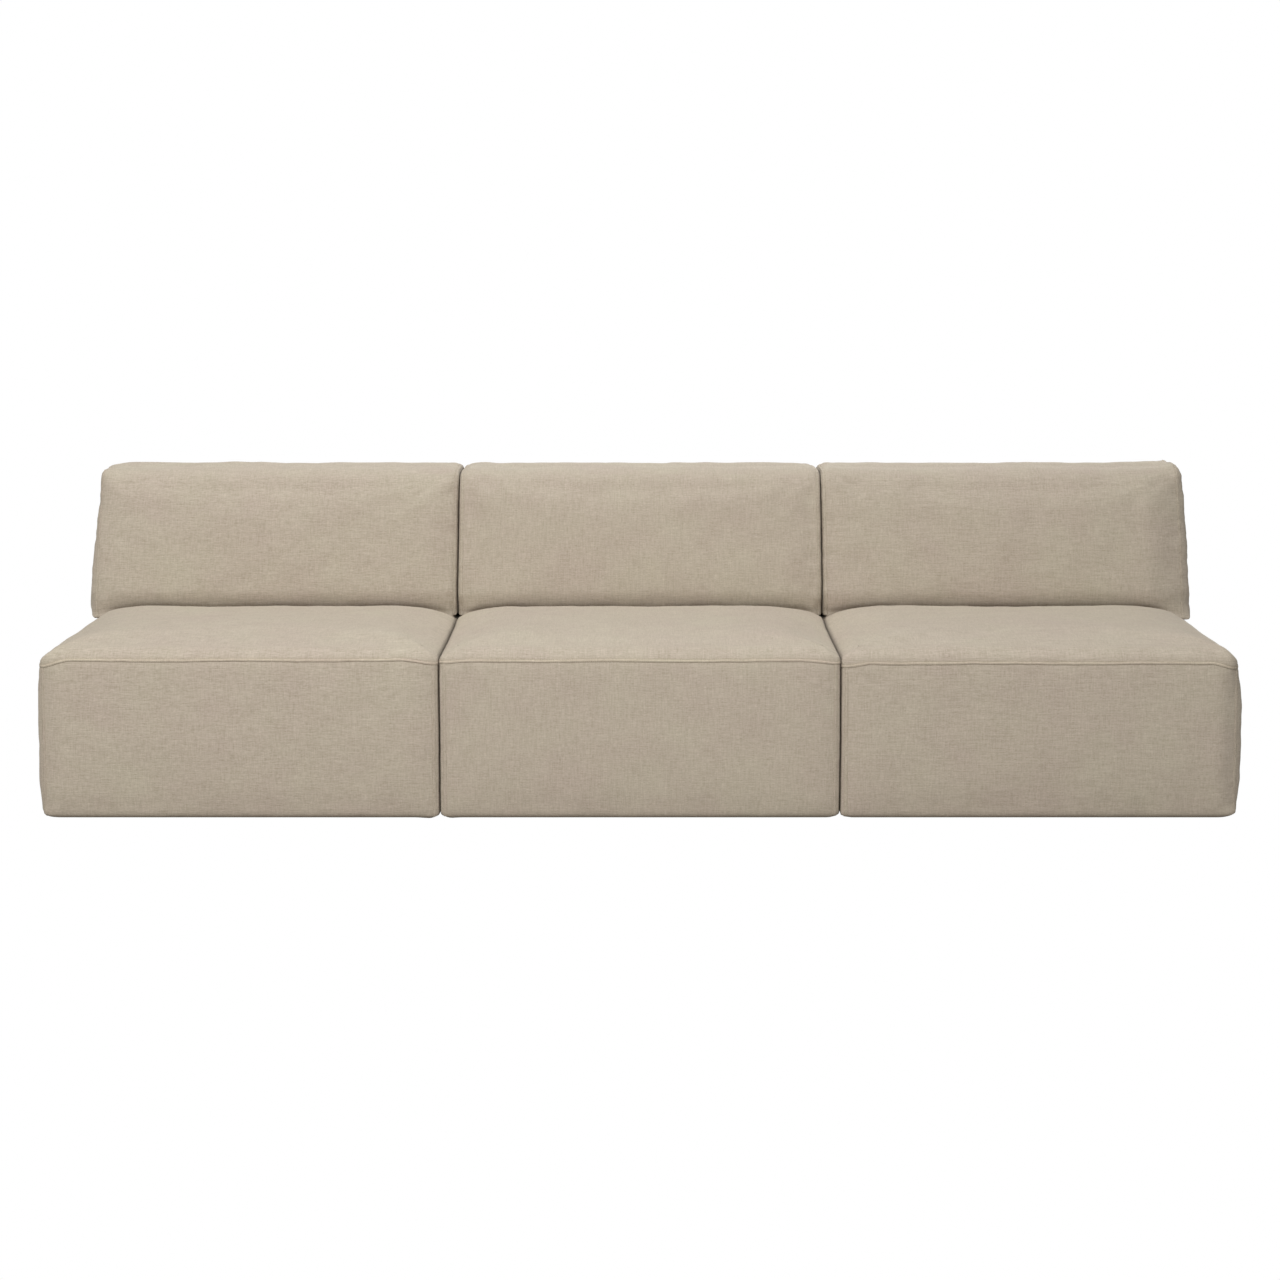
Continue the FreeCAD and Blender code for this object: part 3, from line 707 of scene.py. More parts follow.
def sewn(kind, module, i, tree, paths, bands, openings, shaded_rim):
    """The seams of a cover and their stitches, with a row round every opening."""
    at = centre(module)
    seams = seam_piece(f"{kind}_seams_{module}", bands, shaded_rim, i, at)
    points, faces = joined([
        thread_line(tree, path, side * STITCH_ROW, closed)
        for path, closed in paths for side in (-1, 1)
    ] + [thread_line(tree, path, 0, True) for path in openings])
    return seams, add(f"{kind}_stitching_{module}", kept_apart(points, i, at), faces)


def seat_seams(piece, i, module):
    tree = surface_of(piece)
    at = centre(module)
    angles = np.linspace(0, 2 * math.pi, 900, endpoint=False)
    ways = [(math.cos(a), math.sin(a), 0) for a in angles]
    middle = []
    for way in ways:
        reach = min(HALF / max(abs(way[0]), 1e-6), SEAT_DEPTH / 2 / max(abs(way[1]), 1e-6))
        x, y = way[0] * reach, SEAT_DEPTH / 2 + way[1] * reach
        middle.append((at, Y0 + SEAT_DEPTH / 2, seam_height(i, x, y)))
    rim = around(tree, middle, ways)
    paths = [(rim, True)]
    for x in (-1, 1):
        for y, way in ((0, -1), (SEAT_DEPTH, 1)):
            spot_x = at + x * (HALF - SEAM_IN)
            top = seam_height(i, x * HALF, y) - 0.003
            heights = np.linspace(top, HEM + 0.006, 60)
            line = [
                tree.ray_cast(Vector((spot_x, Y0 + y + way, h)), Vector((0, -way, 0)))[0]
                for h in heights
            ]
            paths.append(([p for p in line if p is not None], False))
    bands = [
        band(tree, path, FELL, closed, 5 + n + 10 * i, relief=1.0 if closed else 0.55)
        for n, (path, closed) in enumerate(paths)
    ]
    holes = slot_edges(at, DECK, *BOUND)
    bands += [band(tree, path, BINDING, True, 7 + n) for n, path in enumerate(holes)]
    return sewn("seat", module, i, tree, paths, bands, slot_edges(at, DECK, *STITCHED), True)


def back_seams(piece, i, module):
    tree = surface_of(piece)
    at = centre(module)
    angles = np.linspace(0, 2 * math.pi, 720, endpoint=False)
    ways = [(0, math.cos(a), math.sin(a)) for a in angles]
    paths = []
    for side in (-1, 1):
        middle = (at + side * (HALF - SIDE_SEAM), Y0 + BACK_FRONT + 0.175, BACK_FOOT + 0.17)
        paths.append((around(tree, [middle] * len(ways), ways), True))
    bands = [
        band(tree, path, FELL, True, 505 + n + 10 * i, 0.0006 if i == 2 and n == 1 else 0.0002, 0.5)
        for n, (path, closed) in enumerate(paths)
    ]

    def zip_edge(wider, taller, corner):
        return [
            rear_spot(at, x, ZIP[2] + u, 0)
            for x, u in loop(ZIP[0] + wider, ZIP[1] + taller, corner)
        ]

    slits = [zip_edge(BOUND[0], *BOUND)] + slot_edges(at, BACK_FOOT, *BOUND)
    openings = [zip_edge(0.016, 0.014, 0.005)] + slot_edges(at, BACK_FOOT, *STITCHED)
    bands += [band(tree, path, BINDING, True, 17 + n) for n, path in enumerate(slits)]
    return sewn("back", module, i, tree, paths, bands, openings, False)


NEAR_SLOT = (0.03, 0.03)


def beside_slot(point):
    """A spot on whole cloth, to look at in place of one near a slot."""
    return np.array([math.copysign(TONGUE - 0.04, point[0]), *point[1:]])


def laid_cover(kind, module, grid, core, warp, dodge, top):
    """The piece that a cover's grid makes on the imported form, and its points."""
    points, quads = grid
    laid = lay_on(nodes[f"{kind}_cover_{module}"], points, core, warp, dodge)
    piece = add(f"{kind}_cushion_{module}", laid, [corners for side, corners in quads])
    panel_map(piece.data, [side for side, corners in quads], points, top)
    return piece, laid


def filled_out(piece, i, x, held, room, reach):
    """A cover filled by as much as room, or by less where it meets a neighbour."""
    beside = by_side(x, *reach)
    cap = room * (1 - beside) + beside * np.where(is_free(x, i), 0.010, 0.003)
    filled(piece, held, cap)
    subdivided(piece)


def seat_cushion(i, module):
    at = centre(module)
    xs = rounded(-HALF, HALF, 0.045, SLOT_ENDS, PITCH)
    marks = [SIT_DEPTH - 0.006, SIT_DEPTH + 0.003, SLOT_Y - SLOT[1] / 2, SLOT_Y + SLOT[1] / 2]
    ys = rounded(0.0, SEAT_DEPTH, 0.045, [HEM_RETURN, *marks, SEAT_DEPTH - HEM_RETURN], PITCH)
    zs = rounded(HEM, SEAT_HEIGHT + 0.003, 0.02, [SEAM_HEIGHT], PITCH, 2)

    def cloth_at(side, x, y, z):
        if side == "bottom":
            return not (abs(x) < HALF - HEM_RETURN and HEM_RETURN < y < SEAT_DEPTH - HEM_RETURN)
        return not (side == "top" and at_slot(x, y - SLOT_Y))

    def dodge(point):
        x, y, z = point
        if z > 0.2 and at_slot(x, y - SLOT_Y, NEAR_SLOT):
            return beside_slot(point)
        return point

    def warp(point):
        x, y, z = point
        behind = float(step(y, SIT_DEPTH - 0.006, SIT_DEPTH + 0.003))
        drop = (SEAT_HEIGHT + 0.003 - DECK) * max(z - 0.34, 0) / (SEAT_HEIGHT + 0.003 - 0.34)
        return x + at, y + Y0, z - behind * drop

    grid = box_grid(xs, ys, zs, cloth_at)
    core = np.array([0.045, 0.045, 0.02])
    piece, laid = laid_cover("seat", module, grid, core, warp, dodge, SEAT_HEIGHT)
    x, y, z = (laid - (at, Y0, 0)).T
    deck = step(y, SIT_DEPTH - 0.03, SIT_DEPTH) * step(z, 0.33, 0.37)
    held = np.maximum(step(-z, -0.03, -0.017), deck)
    laid = relaxed(piece.data, laid, np.minimum(1, held * (y > SIT_DEPTH) + (z < 0.016)), 1)
    write(piece.data, laid)
    seam = fade(z - SEAM_HEIGHT, 0.008) * (z < 0.38)
    corner = fade(HALF - np.abs(x) - SEAM_IN, 0.008) * (z < SEAM_HEIGHT) * at_ends(y, 0.05)
    held = np.clip(np.maximum(held, np.maximum(seam, corner)), 0, 1)
    filled_out(piece, i, x, held, 0.010, (0.06, 0.01))
    dress_seat(piece, i, at)
    return piece


def back_cushion(i, module):
    at = centre(module)
    slot_t = SLOT_Y - BACK_FRONT
    height = TOP - BACK_FOOT
    thickness = BACK_REAR - BACK_FRONT
    zip_low, zip_high = ((ZIP[2] + side * ZIP[1] / 2) * math.cos(REAR_TILT) for side in (-1, 1))
    xs = rounded(-HALF, HALF, 0.03, [-ZIP[0] / 2, *SLOT_ENDS, ZIP[0] / 2], PITCH)
    ys = rounded(0.0, thickness, 0.03, [slot_t - SLOT[1] / 2, slot_t + SLOT[1] / 2], PITCH)
    zs = rounded(0.0, height, 0.03, [zip_low, zip_high], PITCH)

    def cloth_at(side, x, t, s):
        if side == "bottom":
            return not at_slot(x, t - slot_t)
        return not (side == "rear" and abs(x) < ZIP[0] / 2 and zip_low < s < zip_high)

    def dodge(point):
        x, t, s = point
        if s < 0.001 and at_slot(x, t - slot_t, NEAR_SLOT):
            return beside_slot(point)
        in_zip = abs(x) < ZIP[0] / 2 + 0.002 and zip_low - 0.002 < s < zip_high + 0.002
        if t > thickness - 0.001 and in_zip:
            return np.array([x, t, zip_high + 0.012])
        return point

    def warp(point):
        x, t, s = point
        front, rear = FRONT_SLOPE * s, thickness + REAR_SLOPE * s
        return (x + at, Y0 + BACK_FRONT + front + (rear - front) * t / thickness, BACK_FOOT + s)

    grid = box_grid(xs, ys, zs, cloth_at)
    piece, laid = laid_cover("back", module, grid, np.full(3, 0.03), warp, dodge, height + 1)
    x, t, s = grid[0].T
    on_rear = t > thickness - 0.001
    slit = on_rear * fade(np.maximum(np.abs(s - ZIP[2]) - ZIP[1] / 2, 0), 0.015)
    slit = slit * (np.abs(x) < ZIP[0] / 2 + 0.01)
    foot = step(-s, -0.02, -0.002)
    laid = relaxed(piece.data, laid, np.clip(slit + (s < 0.001) * 0.7, 0, 1), 2)
    write(piece.data, laid)
    seam = fade(HALF - np.abs(x) - SIDE_SEAM, 0.010)
    held = np.clip(np.maximum(np.maximum(seam, foot), slit), 0, 1)
    filled_out(piece, i, x, held, 0.012, (0.05, 0.005))
    dress_back(piece, i, at)
    return piece


# Woven pieces under and behind the covers

def slab(name, us, vs, place, smooth=True):
    """A thin closed sheet. place(u, v) gives a point of its lower and one of its upper face."""
    rows, columns = len(us), len(vs)
    pairs = [place(u, v) for u in us for v in vs]
    points = [low for low, high in pairs] + [high for low, high in pairs]
    uvs = [(u, v) for u in us for v in vs] * 2
    half = rows * columns
    faces = []
    for r in range(rows - 1):
        for c in range(columns - 1):
            a, b = r * columns + c, (r + 1) * columns + c
            faces.append((a, a + 1, b + 1, b))
            faces.append((a + half, b + half, b + 1 + half, a + 1 + half))
    rim = [r * columns for r in range(rows)] + [(rows - 1) * columns + c for c in range(1, columns)]
    rim += [r * columns + columns - 1 for r in range(rows - 2, -1, -1)]
    rim += range(columns - 2, 0, -1)
    for a, b in zip(rim, rim[1:] + rim[:1]):
        faces.append((a, b, b + half, a + half))
    return points, faces, uvs


def woven(name, slabs):
    points, faces = joined([(p, f) for p, f, uv in slabs])
    piece = add(name, points, faces)
    shape = bmesh.new()
    shape.from_mesh(piece.data)
    bmesh.ops.recalc_face_normals(shape, faces=shape.faces)
    shape.to_mesh(piece.data)
    shape.free()
    set_threads(piece, np.array([spot for p, f, uv in slabs for spot in uv]))
    return piece


STRAPS = (-0.285, -0.095, 0.095, 0.285)    # middles of the straps, each way
STRAP = 0.080
STRAP_LOW = 0.290
STRAP_LAYER = 0.002
STRAP_ENDS = ((-0.4102, 0.4102), (0.0338, 0.8162))
STRAP_MIDDLE = 0.40125                     # of the crosswise straps, from the front


def webbing_deck(module):
    """Four straps each way. Each rises over every second strap that it crosses."""
    at = centre(module)
    slabs = []
    for i, place in enumerate(STRAPS):
        for lengthwise in (True, False):
            crossings = [STRAP_MIDDLE + c if lengthwise else c for c in STRAPS]
            start, stop = STRAP_ENDS[1 if lengthwise else 0]
            over = [(n + i) % 2 == (0 if lengthwise else 1) for n in range(4)]
            along = [start, start + 0.018]
            level = [0.0, 0.0]
            for crossing, above in zip(crossings, over):
                along += [crossing - STRAP / 2, crossing + STRAP / 2]
                level += [float(above)] * 2
            along += [stop - 0.018, stop]
            level += [0.0, 0.0]
            middle = place if lengthwise else STRAP_MIDDLE + place

            def spot(u, v):
                height = STRAP_LOW + STRAP_LAYER * (0.5 + float(np.interp(u, along, level)))
                edge = abs(v - middle) > STRAP / 2 - 0.002
                half = 0.0006 if edge else 0.0009
                x, y = (at + v, Y0 + u) if lengthwise else (at + u, Y0 + v)
                return (x, y, height - half), (x, y, height + half)

            us = lines([start, *along[2:-2], stop], 0.02)
            vs = [middle + STRAP * f for f in (-0.5, -0.48, -0.46, -0.2, 0, 0.2, 0.46, 0.48, 0.5)]
            slabs.append(slab(module, us, vs, spot))
    return woven(f"webbing_deck_{module}", slabs)


def dust_cloth(module):
    """The cloth under the box, stapled to its rails and a little slack between them."""
    low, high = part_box(f"dust_cover_{module}")
    middle_x, middle_y = (low.x + high.x) / 2, (low.y + high.y) / 2
    reach_x, reach_y = (high.x - low.x) / 2, (high.y - low.y) / 2

    def spot(u, v):
        inside = step(reach_x - abs(u), 0.06, 0.30) * step(reach_y - abs(v), 0.06, 0.30)
        slack = 0.0022 + 0.0008 * math.sin(u * 23 + 1.3 * math.sin(v * 17)) * math.sin(v * 19 + 0.7)
        sag = inside * slack
        where = (middle_x + u, middle_y + v)
        return (*where, low.z + 0.0001 - sag), (*where, high.z - 0.0002 - sag)

    us = lines([-reach_x, reach_x], 0.022)
    vs = lines([-reach_y, reach_y], 0.022)
    cloth = woven(f"dust_cloth_{module}", [slab(module, us, vs, spot)])
    middles, ways = [], []
    for a, b, way in ((reach_x, reach_y, 0), (reach_y, reach_x, 1)):
        for side in (-1, 1):
            for t in lines([-a + 0.03, a - 0.03], 0.07):
                spot_here = (t, side * (b - 0.008)) if way == 0 else (side * (b - 0.008), t)
                middles.append((middle_x + spot_here[0], middle_y + spot_here[1], low.z - 0.0003))
                skew = 0.1 * math.sin(t * (70 if way else 90))
                ways.append((skew, 1, 0) if way else (1, skew, 0))
    ways = np.array(ways) / np.linalg.norm(ways, axis=1)[:, None]
    downs = np.tile((0.0, 0.0, -1.0), (len(ways), 1))
    across = np.cross(downs, ways)
    made = beads(np.array(middles), downs, ways, across, 0.011, 0.0006, 0.0005)
    staples = add(f"staples_{module}", *made)
    return cloth, staples


def zip_chain(module):
    """Two woven tapes and the two coils that mesh between them."""
    at = centre(module)
    length, width, height = ZIP
    slabs = []
    for side in (-1, 1):
        def spot(u, v):
            rise = 0.0002 if abs(abs(v - height) - width / 4) < width / 8 else 0
            return rear_spot(at, u, v, 0.0019), rear_spot(at, u, v, 0.0012 - rise)

        edges = [height + side * width * f for f in (0.035, 0.06, 0.15, 0.25, 0.35, 0.45, 0.5)]
        slabs.append(slab(module, lines([-length / 2, length / 2], 0.012), edges, spot))
    tapes = woven(f"zip_tapes_{module}", slabs)
    teeth = lines([-length / 2 + 0.012, length / 2 - 0.012], 0.0016)
    middles = [
        rear_spot(at, x + 0.0008 * n, height + side * 0.0011, 0.0003)
        for n, side in enumerate((-1, 1)) for x in teeth[:-1]
    ]
    out = Vector(rear_spot(0, 0, 0, 0)) - Vector(rear_spot(0, 0, 0, 1))
    up = Vector(rear_spot(0, 0, 1, 0)) - Vector(rear_spot(0, 0, 0, 0))
    count = len(middles)
    coil = add(f"zip_coil_{module}", *beads(
        np.array(middles), *(np.tile(way, (count, 1)) for way in (out, up, (1.0, 0, 0))),
        0.0034, 0.00058, 0.0007,
    ))
    return tapes, coil


# Materials

def material(name):
    made = bpy.data.materials.new(name)
    made.use_nodes = True
    tree = made.node_tree
    return made, tree, tree.nodes["Principled BSDF"]


def set_values(made, **values):
    """Sets properties of a node, or else its inputs."""
    for key, value in values.items():
        if hasattr(made, key):
            setattr(made, key, value)
        else:
            made.inputs[key.replace("_", " ")].default_value = value
    return made


def node(tree, kind, **values):
    return set_values(tree.nodes.new(kind), **values)


def link(tree, source, target):
    """Feeds a socket with an output or a plain value."""
    if isinstance(source, (int, float, list, tuple)):
        target.default_value = source
    else:
        tree.links.new(source, target)


def math_node(tree, operation, *sources):
    made = node(tree, "ShaderNodeMath", operation=operation)
    for source, target in zip(sources, made.inputs):
        link(tree, source, target)
    return made.outputs[0]


def beyond(tree, value, limit):
    return math_node(tree, "GREATER_THAN", math_node(tree, "ABSOLUTE", value), limit)


def choose(tree, factor, a, b):
    """The value a where factor is 0 and b where it is 1."""
    made = node(tree, "ShaderNodeMix")
    for source, n in ((factor, 0), (a, 2), (b, 3)):
        link(tree, source, made.inputs[n])
    return made.outputs[0]


def in_space(tree):
    return node(tree, "ShaderNodeTexCoord").outputs["Object"]


def along_threads(tree):
    return node(tree, "ShaderNodeUVMap", uv_map="Threads").outputs[0]


def weighted(tree, start, *terms):
    """start plus each value times its weight."""
    for value, weight in terms:
        start = math_node(tree, "MULTIPLY_ADD", value, weight, start)
    return start


def sine(tree, value, period):
    return math_node(tree, "SINE", math_node(tree, "MULTIPLY", value, 2 * math.pi / period))


def axes(tree, vector):
    apart = node(tree, "ShaderNodeSeparateXYZ")
    link(tree, vector, apart.inputs[0])
    return apart.outputs


def surface(tree, shader, colour, roughness, height, strength, distance):
    """Connects a finish to its shader, with height as a bump."""
    bump = node(tree, "ShaderNodeBump", Strength=strength, Distance=distance)
    for source, target in (
        (height, bump.inputs["Height"]), (bump.outputs[0], shader.inputs["Normal"]),
        (colour, shader.inputs["Base Color"]), (roughness, shader.inputs["Roughness"]),
    ):
        link(tree, source, target)


def threads(tree, coordinates, scale, detail, seed):
    """Noise drawn out by a different scale along each axis, from -0.5 to 0.5 or so."""
    shift = (seed, seed * 0.37, seed * 0.71)
    mapping = node(tree, "ShaderNodeMapping", Location=shift, Scale=scale)
    link(tree, coordinates, mapping.inputs["Vector"])
    noise = node(tree, "ShaderNodeTexNoise", Scale=1.0, Detail=detail, Roughness=0.55)
    link(tree, mapping.outputs[0], noise.inputs["Vector"])
    return math_node(tree, "SUBTRACT", noise.outputs["Fac"], 0.5)


def srgb(r, g, b):
    return [
        ((c / 255 + 0.055) / 1.055) ** 2.4 if c > 10 else c / 255 / 12.92 for c in (r, g, b)
    ] + [1]


def mix(tree, kind, fac, a, b):
    made = node(tree, "ShaderNodeMix", data_type="RGBA", blend_type=kind)
    for source, n in ((fac, 0), (a, 6), (b, 7)):
        link(tree, source, made.inputs[n])
    return made.outputs[2]


# Across a seam, from its lower to its upper edge: painted shade at the edges and in the stitch
# rows, a painted highlight between
SEAM_PAINTED_LIGHT = (
    (0.09, 0.46), (0.16, 0.70), (0.22, 0.56), (0.30, 0.80), (0.46, 0.91), (0.66, 0.91),
    (0.77, 0.66), (0.85, 0.82), (0.94, 0.72),
)


def linen(name, colour, seed, seam=False):
    """Linen with slubs along and across, a plain weave, a faint unevenness of tone and painted
    shade in creases and gaps. On a seam it has a painted highlight along the middle and painted
    shade at its edges and in the stitch rows."""
    made, tree, shader = material(name)
    uv = along_threads(tree)
    slub = threads(tree, uv, (30, 480, 1), 3, seed)
    fine = threads(tree, uv, (150, 900, 1), 2, seed + 3)
    cross = threads(tree, uv, (560, 45, 1), 2, seed + 5)
    broad = threads(tree, uv, (5, 5, 1), 2, seed + 7)
    patch = threads(tree, uv, (14, 22, 1), 3, seed + 11)
    tone = weighted(
        tree, 0.5, (slub, 0.75), (fine, 0.9), (cross, 0.6), (patch, 0.18), (broad, 0.15)
    )
    r, g, b = colour
    dark = srgb(r * 0.84, g * 0.83, b * 0.80)
    light = srgb(min(255, r * 1.13), min(255, g * 1.135), min(255, b * 1.16))
    base = mix(tree, "MIX", tone, dark, light)
    hue = weighted(tree, 0.5, (patch, 0.8), (broad, 1.6))
    tint = mix(tree, "MIX", hue, [1, 0.972, 0.985, 1], [0.968, 0.99, 0.945, 1])
    base = mix(tree, "MULTIPLY", 1.0, base, tint)
    u, v, _ = axes(tree, uv)
    # Painted light on a seam: a ramp across it, dark at its edges and stitch rows and lighter along
    # its middle, multiplied into the linen
    if seam:
        off_middle = math_node(tree, "SUBTRACT", v, BAND_V)
        place = math_node(tree, "MULTIPLY_ADD", off_middle, 1 / BAND_WIDTH, 0.5)
        ramp = node(tree, "ShaderNodeValToRGB")
        link(tree, place, ramp.inputs[0])
        stops = ramp.color_ramp.elements
        stops[0].position, stops[0].color = 0.0, (0.40, 0.38, 0.35, 1)
        stops[1].position, stops[1].color = 1.0, (0.62, 0.60, 0.56, 1)
        for place, tone_here in SEAM_PAINTED_LIGHT:
            stops.new(place).color = (tone_here, tone_here * 0.99, tone_here * 0.97, 1)
        painted_seam_light = mix(tree, "MULTIPLY", 1.0, ramp.outputs[0], [1.3, 1.3, 1.3, 1])
        base = mix(tree, "MULTIPLY", 1.0, base, painted_seam_light)
    weave = math_node(tree, "MULTIPLY", sine(tree, u, 0.0011), sine(tree, v, 0.0013))
    # Painted shade: the linen is darkened in creases, gaps and seams, the more the lower its
    # ambient occlusion
    hollow = node(tree, "ShaderNodeAmbientOcclusion", Distance=0.03, samples=6)
    shade = node(tree, "ShaderNodeMapRange", From_Min=0.30, From_Max=0.80, To_Min=0.0, To_Max=1.0)
    link(tree, hollow.outputs["AO"], shade.inputs["Value"])
    deep = mix(tree, "MULTIPLY", 1.0, base, [0.22, 0.19, 0.16, 1])
    base = mix(tree, "MIX", shade.outputs[0], deep, base)
    height = weighted(tree, 0.0, (weave, 0.12), (slub, 1.6), (fine, 1.1), (cross, 0.7))
    surface(tree, shader, base, weighted(tree, 0.88, (slub, -0.2)), height, 0.35, 0.0006)
    set_values(
        shader, Specular_IOR_Level=0.22, Sheen_Weight=0.25, Sheen_Roughness=0.45,
        Sheen_Tint=srgb(236, 228, 214),
    )
    return made


def plain_thread():
    """Sewing thread, twisted, a little lighter than the linen."""
    made, tree, shader = material("thread")
    where = in_space(tree)
    twist = threads(tree, where, (900, 900, 900), 2, 3.1)
    tone = math_node(tree, "ADD", twist, 0.5)
    base = mix(tree, "MIX", tone, srgb(176, 163, 142), srgb(212, 200, 180))
    surface(tree, shader, base, weighted(tree, 0.7, (twist, 0.3)), twist, 0.4, 0.0002)
    return made


def place_in_module(tree):
    """Coordinates from the middle of each module, the same for all three."""
    where = in_space(tree)
    x, y, _ = axes(tree, where)
    return where, math_node(tree, "WRAP", x, MODULE_PITCH / 2, -MODULE_PITCH / 2), y


def grain(tree, where, scale, seed):
    """Wood grain along the axis with the smallest scale: rings, streaks and pores."""
    rings = threads(tree, where, scale, 2, seed)
    wave = math_node(tree, "SINE", math_node(tree, "MULTIPLY", rings, 34))
    streak = threads(tree, where, tuple(v * 9 for v in scale), 3, seed + 2)
    return weighted(tree, 0.5, (wave, 0.22), (streak, 0.9)), streak


def timber(name, pale, dark, side, upright, plies):
    """Wood whose grain runs across the module, and beyond side from its middle lengthwise or
    upright. With plies, level faces show the layers of plywood."""
    made, tree, shader = material(name)
    pale, dark = srgb(*pale), srgb(*dark)
    where, across, deep = place_in_module(tree)
    outer = beyond(tree, across, side)
    level_grain, streak = grain(tree, where, (2.2, 34, 34), 4.7)
    turned = (34, 34, 2.2) if upright else (34, 2.2, 34)
    turned_grain, _ = grain(tree, where, turned, 9.2)
    height = choose(tree, outer, level_grain, turned_grain)
    base = mix(tree, "MIX", height, pale, dark)
    if plies:
        up = axes(tree, node(tree, "ShaderNodeNewGeometry").outputs["True Normal"])[2]
        edge = beyond(tree, up, 0.7)
        run = choose(tree, outer, deep, across)
        layer = weighted(tree, 0.5, (sine(tree, run, 0.0031), 0.42))
        thin, glued = [c * 0.92 for c in pale[:3]] + [1], [c * 0.55 for c in dark[:3]] + [1]
        layered = mix(tree, "MIX", layer, thin, glued)
        base = mix(tree, "MIX", edge, base, layered)
    surface(tree, shader, base, weighted(tree, 0.62, (streak, 0.25)), height, 0.25, 0.0008)
    return made


def coated(name, colour, spread, roughness, metallic, scale, relief):
    """Metal or plastic with an uneven skin: patches of tone, fine scratches and wear."""
    made, tree, shader = material(name)
    where = in_space(tree)
    skin = threads(tree, where, (scale, scale, scale), 4, 2.3)
    cloud = threads(tree, where, (28, 28, 28), 3, 6.1)
    scratch = threads(tree, where, (40, 900, 300), 2, 8.4)
    tone = weighted(tree, 0.5, (cloud, 1.2), (scratch, 0.5))
    low = [c * (1 - spread) for c in colour] + [1]
    high = [min(1, c * (1 + spread)) for c in colour] + [1]
    set_values(shader, Metallic=metallic)
    rough = weighted(tree, roughness, (cloud, 0.3), (scratch, 0.12))
    height = weighted(tree, skin, (scratch, 0.4))
    surface(tree, shader, mix(tree, "MIX", tone, low, high), rough, height, relief, 0.0003)
    return made


def ribbed(name, pale, dark, pitch, roughness):
    """A woven strap, tape or cloth: herringbone ribs along its threads and stray fibres."""
    made, tree, shader = material(name)
    pale, dark = srgb(*pale), srgb(*dark)
    uv = along_threads(tree)
    u, v, _ = axes(tree, uv)
    rib = sine(tree, math_node(tree, "ADD", u, math_node(tree, "PINGPONG", v, pitch * 4)), pitch)
    fibre = threads(tree, uv, (260, 700, 1), 3, 5.3)
    cloud = threads(tree, uv, (16, 40, 1), 3, 1.9)
    tone = weighted(tree, 0.5, (rib, 0.16), (fibre, 0.8), (cloud, 0.5))
    height = math_node(tree, "ADD", rib, fibre)
    rough = weighted(tree, roughness, (fibre, 0.2))
    surface(tree, shader, mix(tree, "MIX", tone, dark, pale), rough, height, 0.5, 0.0005)
    return made


# Building

plywood = timber("plywood", (214, 184, 142), (186, 148, 104), 0.3915, False, True)
panel_wood = timber("panel", (208, 180, 140), (182, 146, 104), 2, False, True)
block_wood = timber("blocks", (216, 188, 146), (180, 140, 96), -1, True, False)
pine = timber("pine", (226, 196, 148), (196, 152, 98), 0.345, True, False)
zinc = coated("zinc", (0.60, 0.60, 0.585), 0.16, 0.36, 1.0, 500, 0.2)
nickel = coated("nickel", (0.52, 0.50, 0.46), 0.14, 0.30, 1.0, 700, 0.15)
powder = coated("powder", (0.045, 0.045, 0.047), 0.3, 0.55, 0.0, 1400, 0.5)
plastic = coated("plastic", (0.04, 0.04, 0.042), 0.3, 0.5, 0.0, 900, 0.4)
coil_nylon = coated("nylon", (0.46, 0.40, 0.31), 0.14, 0.42, 0.0, 900, 0.2)
strap_cloth = ribbed("strap", (190, 168, 132), (140, 116, 84), 0.0022, 0.8)
black_cloth = ribbed("black_cloth", (52, 52, 53), (26, 26, 27), 0.0014, 0.85)
tape_cloth = ribbed("tape", (186, 172, 148), (150, 136, 114), 0.0009, 0.8)
KEPT = {
    "frame_rails": plywood, "back_panel": panel_wood, "corner_blocks": block_wood,
    "back_frame": pine,
    "glides": plastic, "back_tongues": zinc, "tongue_sockets": zinc, "tongue_bolts": zinc,
    "connectors": powder, "zip_slider": nickel, "zip_pull": nickel,
}
for name, finish in KEPT.items():
    for module in MODULES:
        slots = nodes[f"{name}_{module}"].data.materials
        slots.clear()
        slots.append(finish)

LINEN = (185, 174, 158)
linens = {}
thread = plain_thread()
for i, module in enumerate(MODULES):
    linens[module] = linen(f"linen_{module}", LINEN, 1.7 + 5.3 * i)
    # The seams' linen carries painted shade and a painted highlight across each seam
    seam_linen = linen(f"seam_linen_{module}", LINEN, 2.9 + 5.3 * i, True)
    seat = seat_cushion(i, module)
    seat.data.materials.append(linens[module])
    back = back_cushion(i, module)
    back.data.materials.append(linens[module])
    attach(seat, f"base_{module}")
    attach(back, f"back_{module}")
    hidden = ("seat_cover", "seat_foam", "side_padding", "felt_pad")
    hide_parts(*(f"{kind}_{module}" for kind in hidden))
    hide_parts(*(f"{kind}_{module}" for kind in ("back_cover", "back_foam")))
    for make, cushion, body in ((seat_seams, seat, "base"), (back_seams, back, "back")):
        seams, stitches = make(cushion, i, module)
        seams.data.materials.append(seam_linen)
        seams.data.materials.append(linens[module])
        stitches.data.materials.append(thread)
        for trim in (seams, stitches):
            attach(trim, f"{body}_{module}")
    deck = webbing_deck(module)
    cloth, staples = dust_cloth(module)
    tapes, coil = zip_chain(module)
    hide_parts(f"webbing_{module}")
    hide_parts(f"dust_cover_{module}")
    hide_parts(f"zip_tape_{module}")
    for piece, finish, body, slot in (
        (deck, strap_cloth, "base", "webbing"), (cloth, black_cloth, "base", "dust_cloth"),
        (staples, zinc, "base", "zinc_steel"), (tapes, tape_cloth, "back", "zip_tape"),
        (coil, coil_nylon, "back", "zip_tape"),
    ):
        piece.data.materials.append(finish)
        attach(piece, f"{body}_{module}")

# Floor, backdrop, light and camera

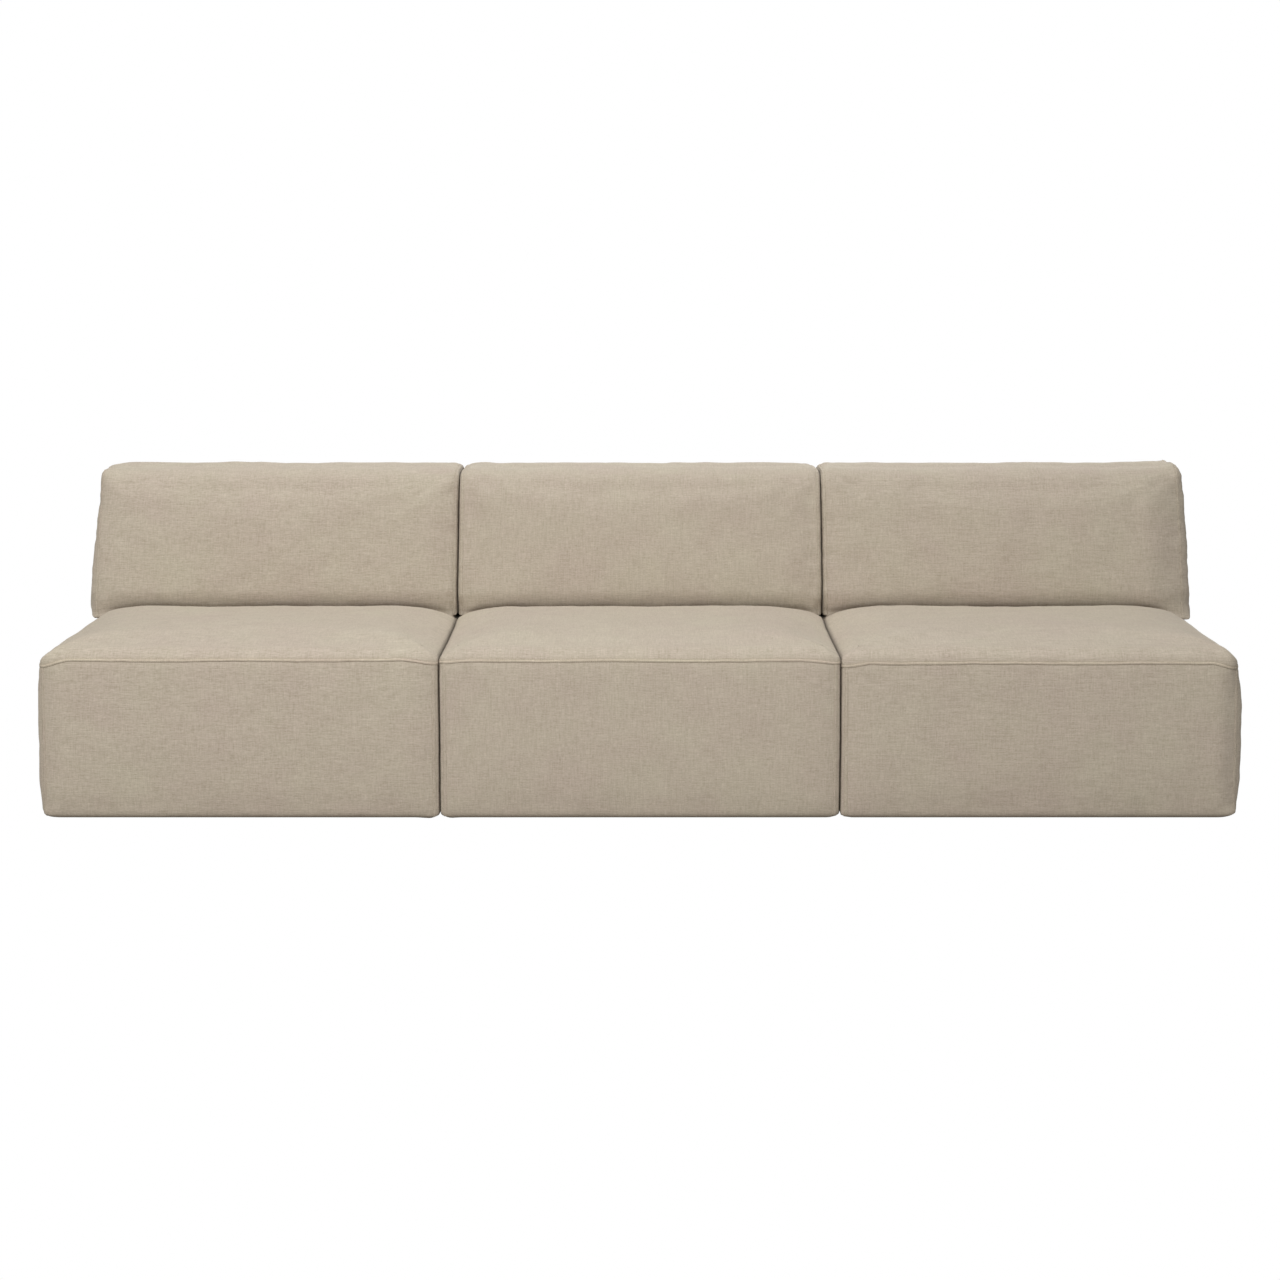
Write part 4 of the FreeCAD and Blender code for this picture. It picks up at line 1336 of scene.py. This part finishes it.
FLOOR = 30                     # half its width; it lies a little below the glides
FLOOR_LEVEL = -0.0004
corners = [(-FLOOR, -FLOOR), (FLOOR, -FLOOR), (FLOOR, FLOOR), (-FLOOR, FLOOR)]
floor = add("floor", [(x, y, FLOOR_LEVEL) for x, y in corners], [(0, 1, 2, 3)])
made, tree, shader = material("floor")
set_values(shader, Base_Color=(0.55, 0.54, 0.53, 1), Roughness=0.9)
glow = node(tree, "ShaderNodeEmission", Strength=1.0)
path = node(tree, "ShaderNodeLightPath")
blend = node(tree, "ShaderNodeMixShader")
link(tree, path.outputs["Is Camera Ray"], blend.inputs[0])
link(tree, shader.outputs[0], blend.inputs[1])
link(tree, glow.outputs[0], blend.inputs[2])
link(tree, blend.outputs[0], tree.nodes["Material Output"].inputs["Surface"])
floor.data.materials.append(made)

world = bpy.data.worlds.new("studio")
bpy.context.scene.world = world
world.use_nodes = True
tree = world.node_tree
back_light = tree.nodes["Background"]
set_values(back_light, Color=(1, 1, 1, 1))
WORLD_LIGHT = 0.26             # to all rays but the camera's, which see 1
path = node(tree, "ShaderNodeLightPath")
strength = weighted(tree, WORLD_LIGHT, (path.outputs["Is Camera Ray"], 1 - WORLD_LIGHT))
link(tree, strength, back_light.inputs["Strength"])


def softbox(name, place, aim, size, power, tint=(1, 1, 1)):
    data = bpy.data.lights.new(name, "AREA")
    data.shape = "RECTANGLE"
    data.size, data.size_y = size
    data.energy = power
    data.color = tint
    lamp = bpy.data.objects.new(name, data)
    bpy.context.scene.collection.objects.link(lamp)
    lamp.location = place
    lamp.rotation_euler = (Vector(aim) - Vector(place)).to_track_quat("-Z", "Y").to_euler()
    return lamp


softbox("key", (-1.0, -4.3, 3.7), (0, 0, 0.35), (4.2, 2.0), 208, (1, 0.985, 0.975))
softbox("rear", (1.2, 5.0, 2.6), (0, 0, 0.4), (4.0, 2.0), 70, (0.98, 0.99, 1))
softbox("top", (-0.3, 1.0, 4.2), (0, 0, 0.3), (5.0, 1.8), 92, (0.96, 0.98, 1))

camera_data = bpy.data.cameras.new("camera")
camera = bpy.data.objects.new("camera", camera_data)
bpy.context.scene.collection.objects.link(camera)
CAMERA_DISTANCE = 5.505        # in front of the seats
CAMERA_HEIGHT = 1.292
CAMERA_TILT = 6.17             # degrees down
FOCAL_LENGTH = 2524 / 1280     # in widths of the picture
SENSOR = 36                    # mm
camera.location = (0, Y0 - CAMERA_DISTANCE, CAMERA_HEIGHT)
camera.rotation_euler = (math.radians(90 - CAMERA_TILT), 0, 0)
camera_data.lens = FOCAL_LENGTH * SENSOR
camera_data.sensor_width = SENSOR
camera_data.shift_y = -0.0979
camera_data.clip_end = 100
bpy.context.scene.camera = camera
bpy.context.scene.view_settings.view_transform = "Standard"

bpy.context.view_layer.update()
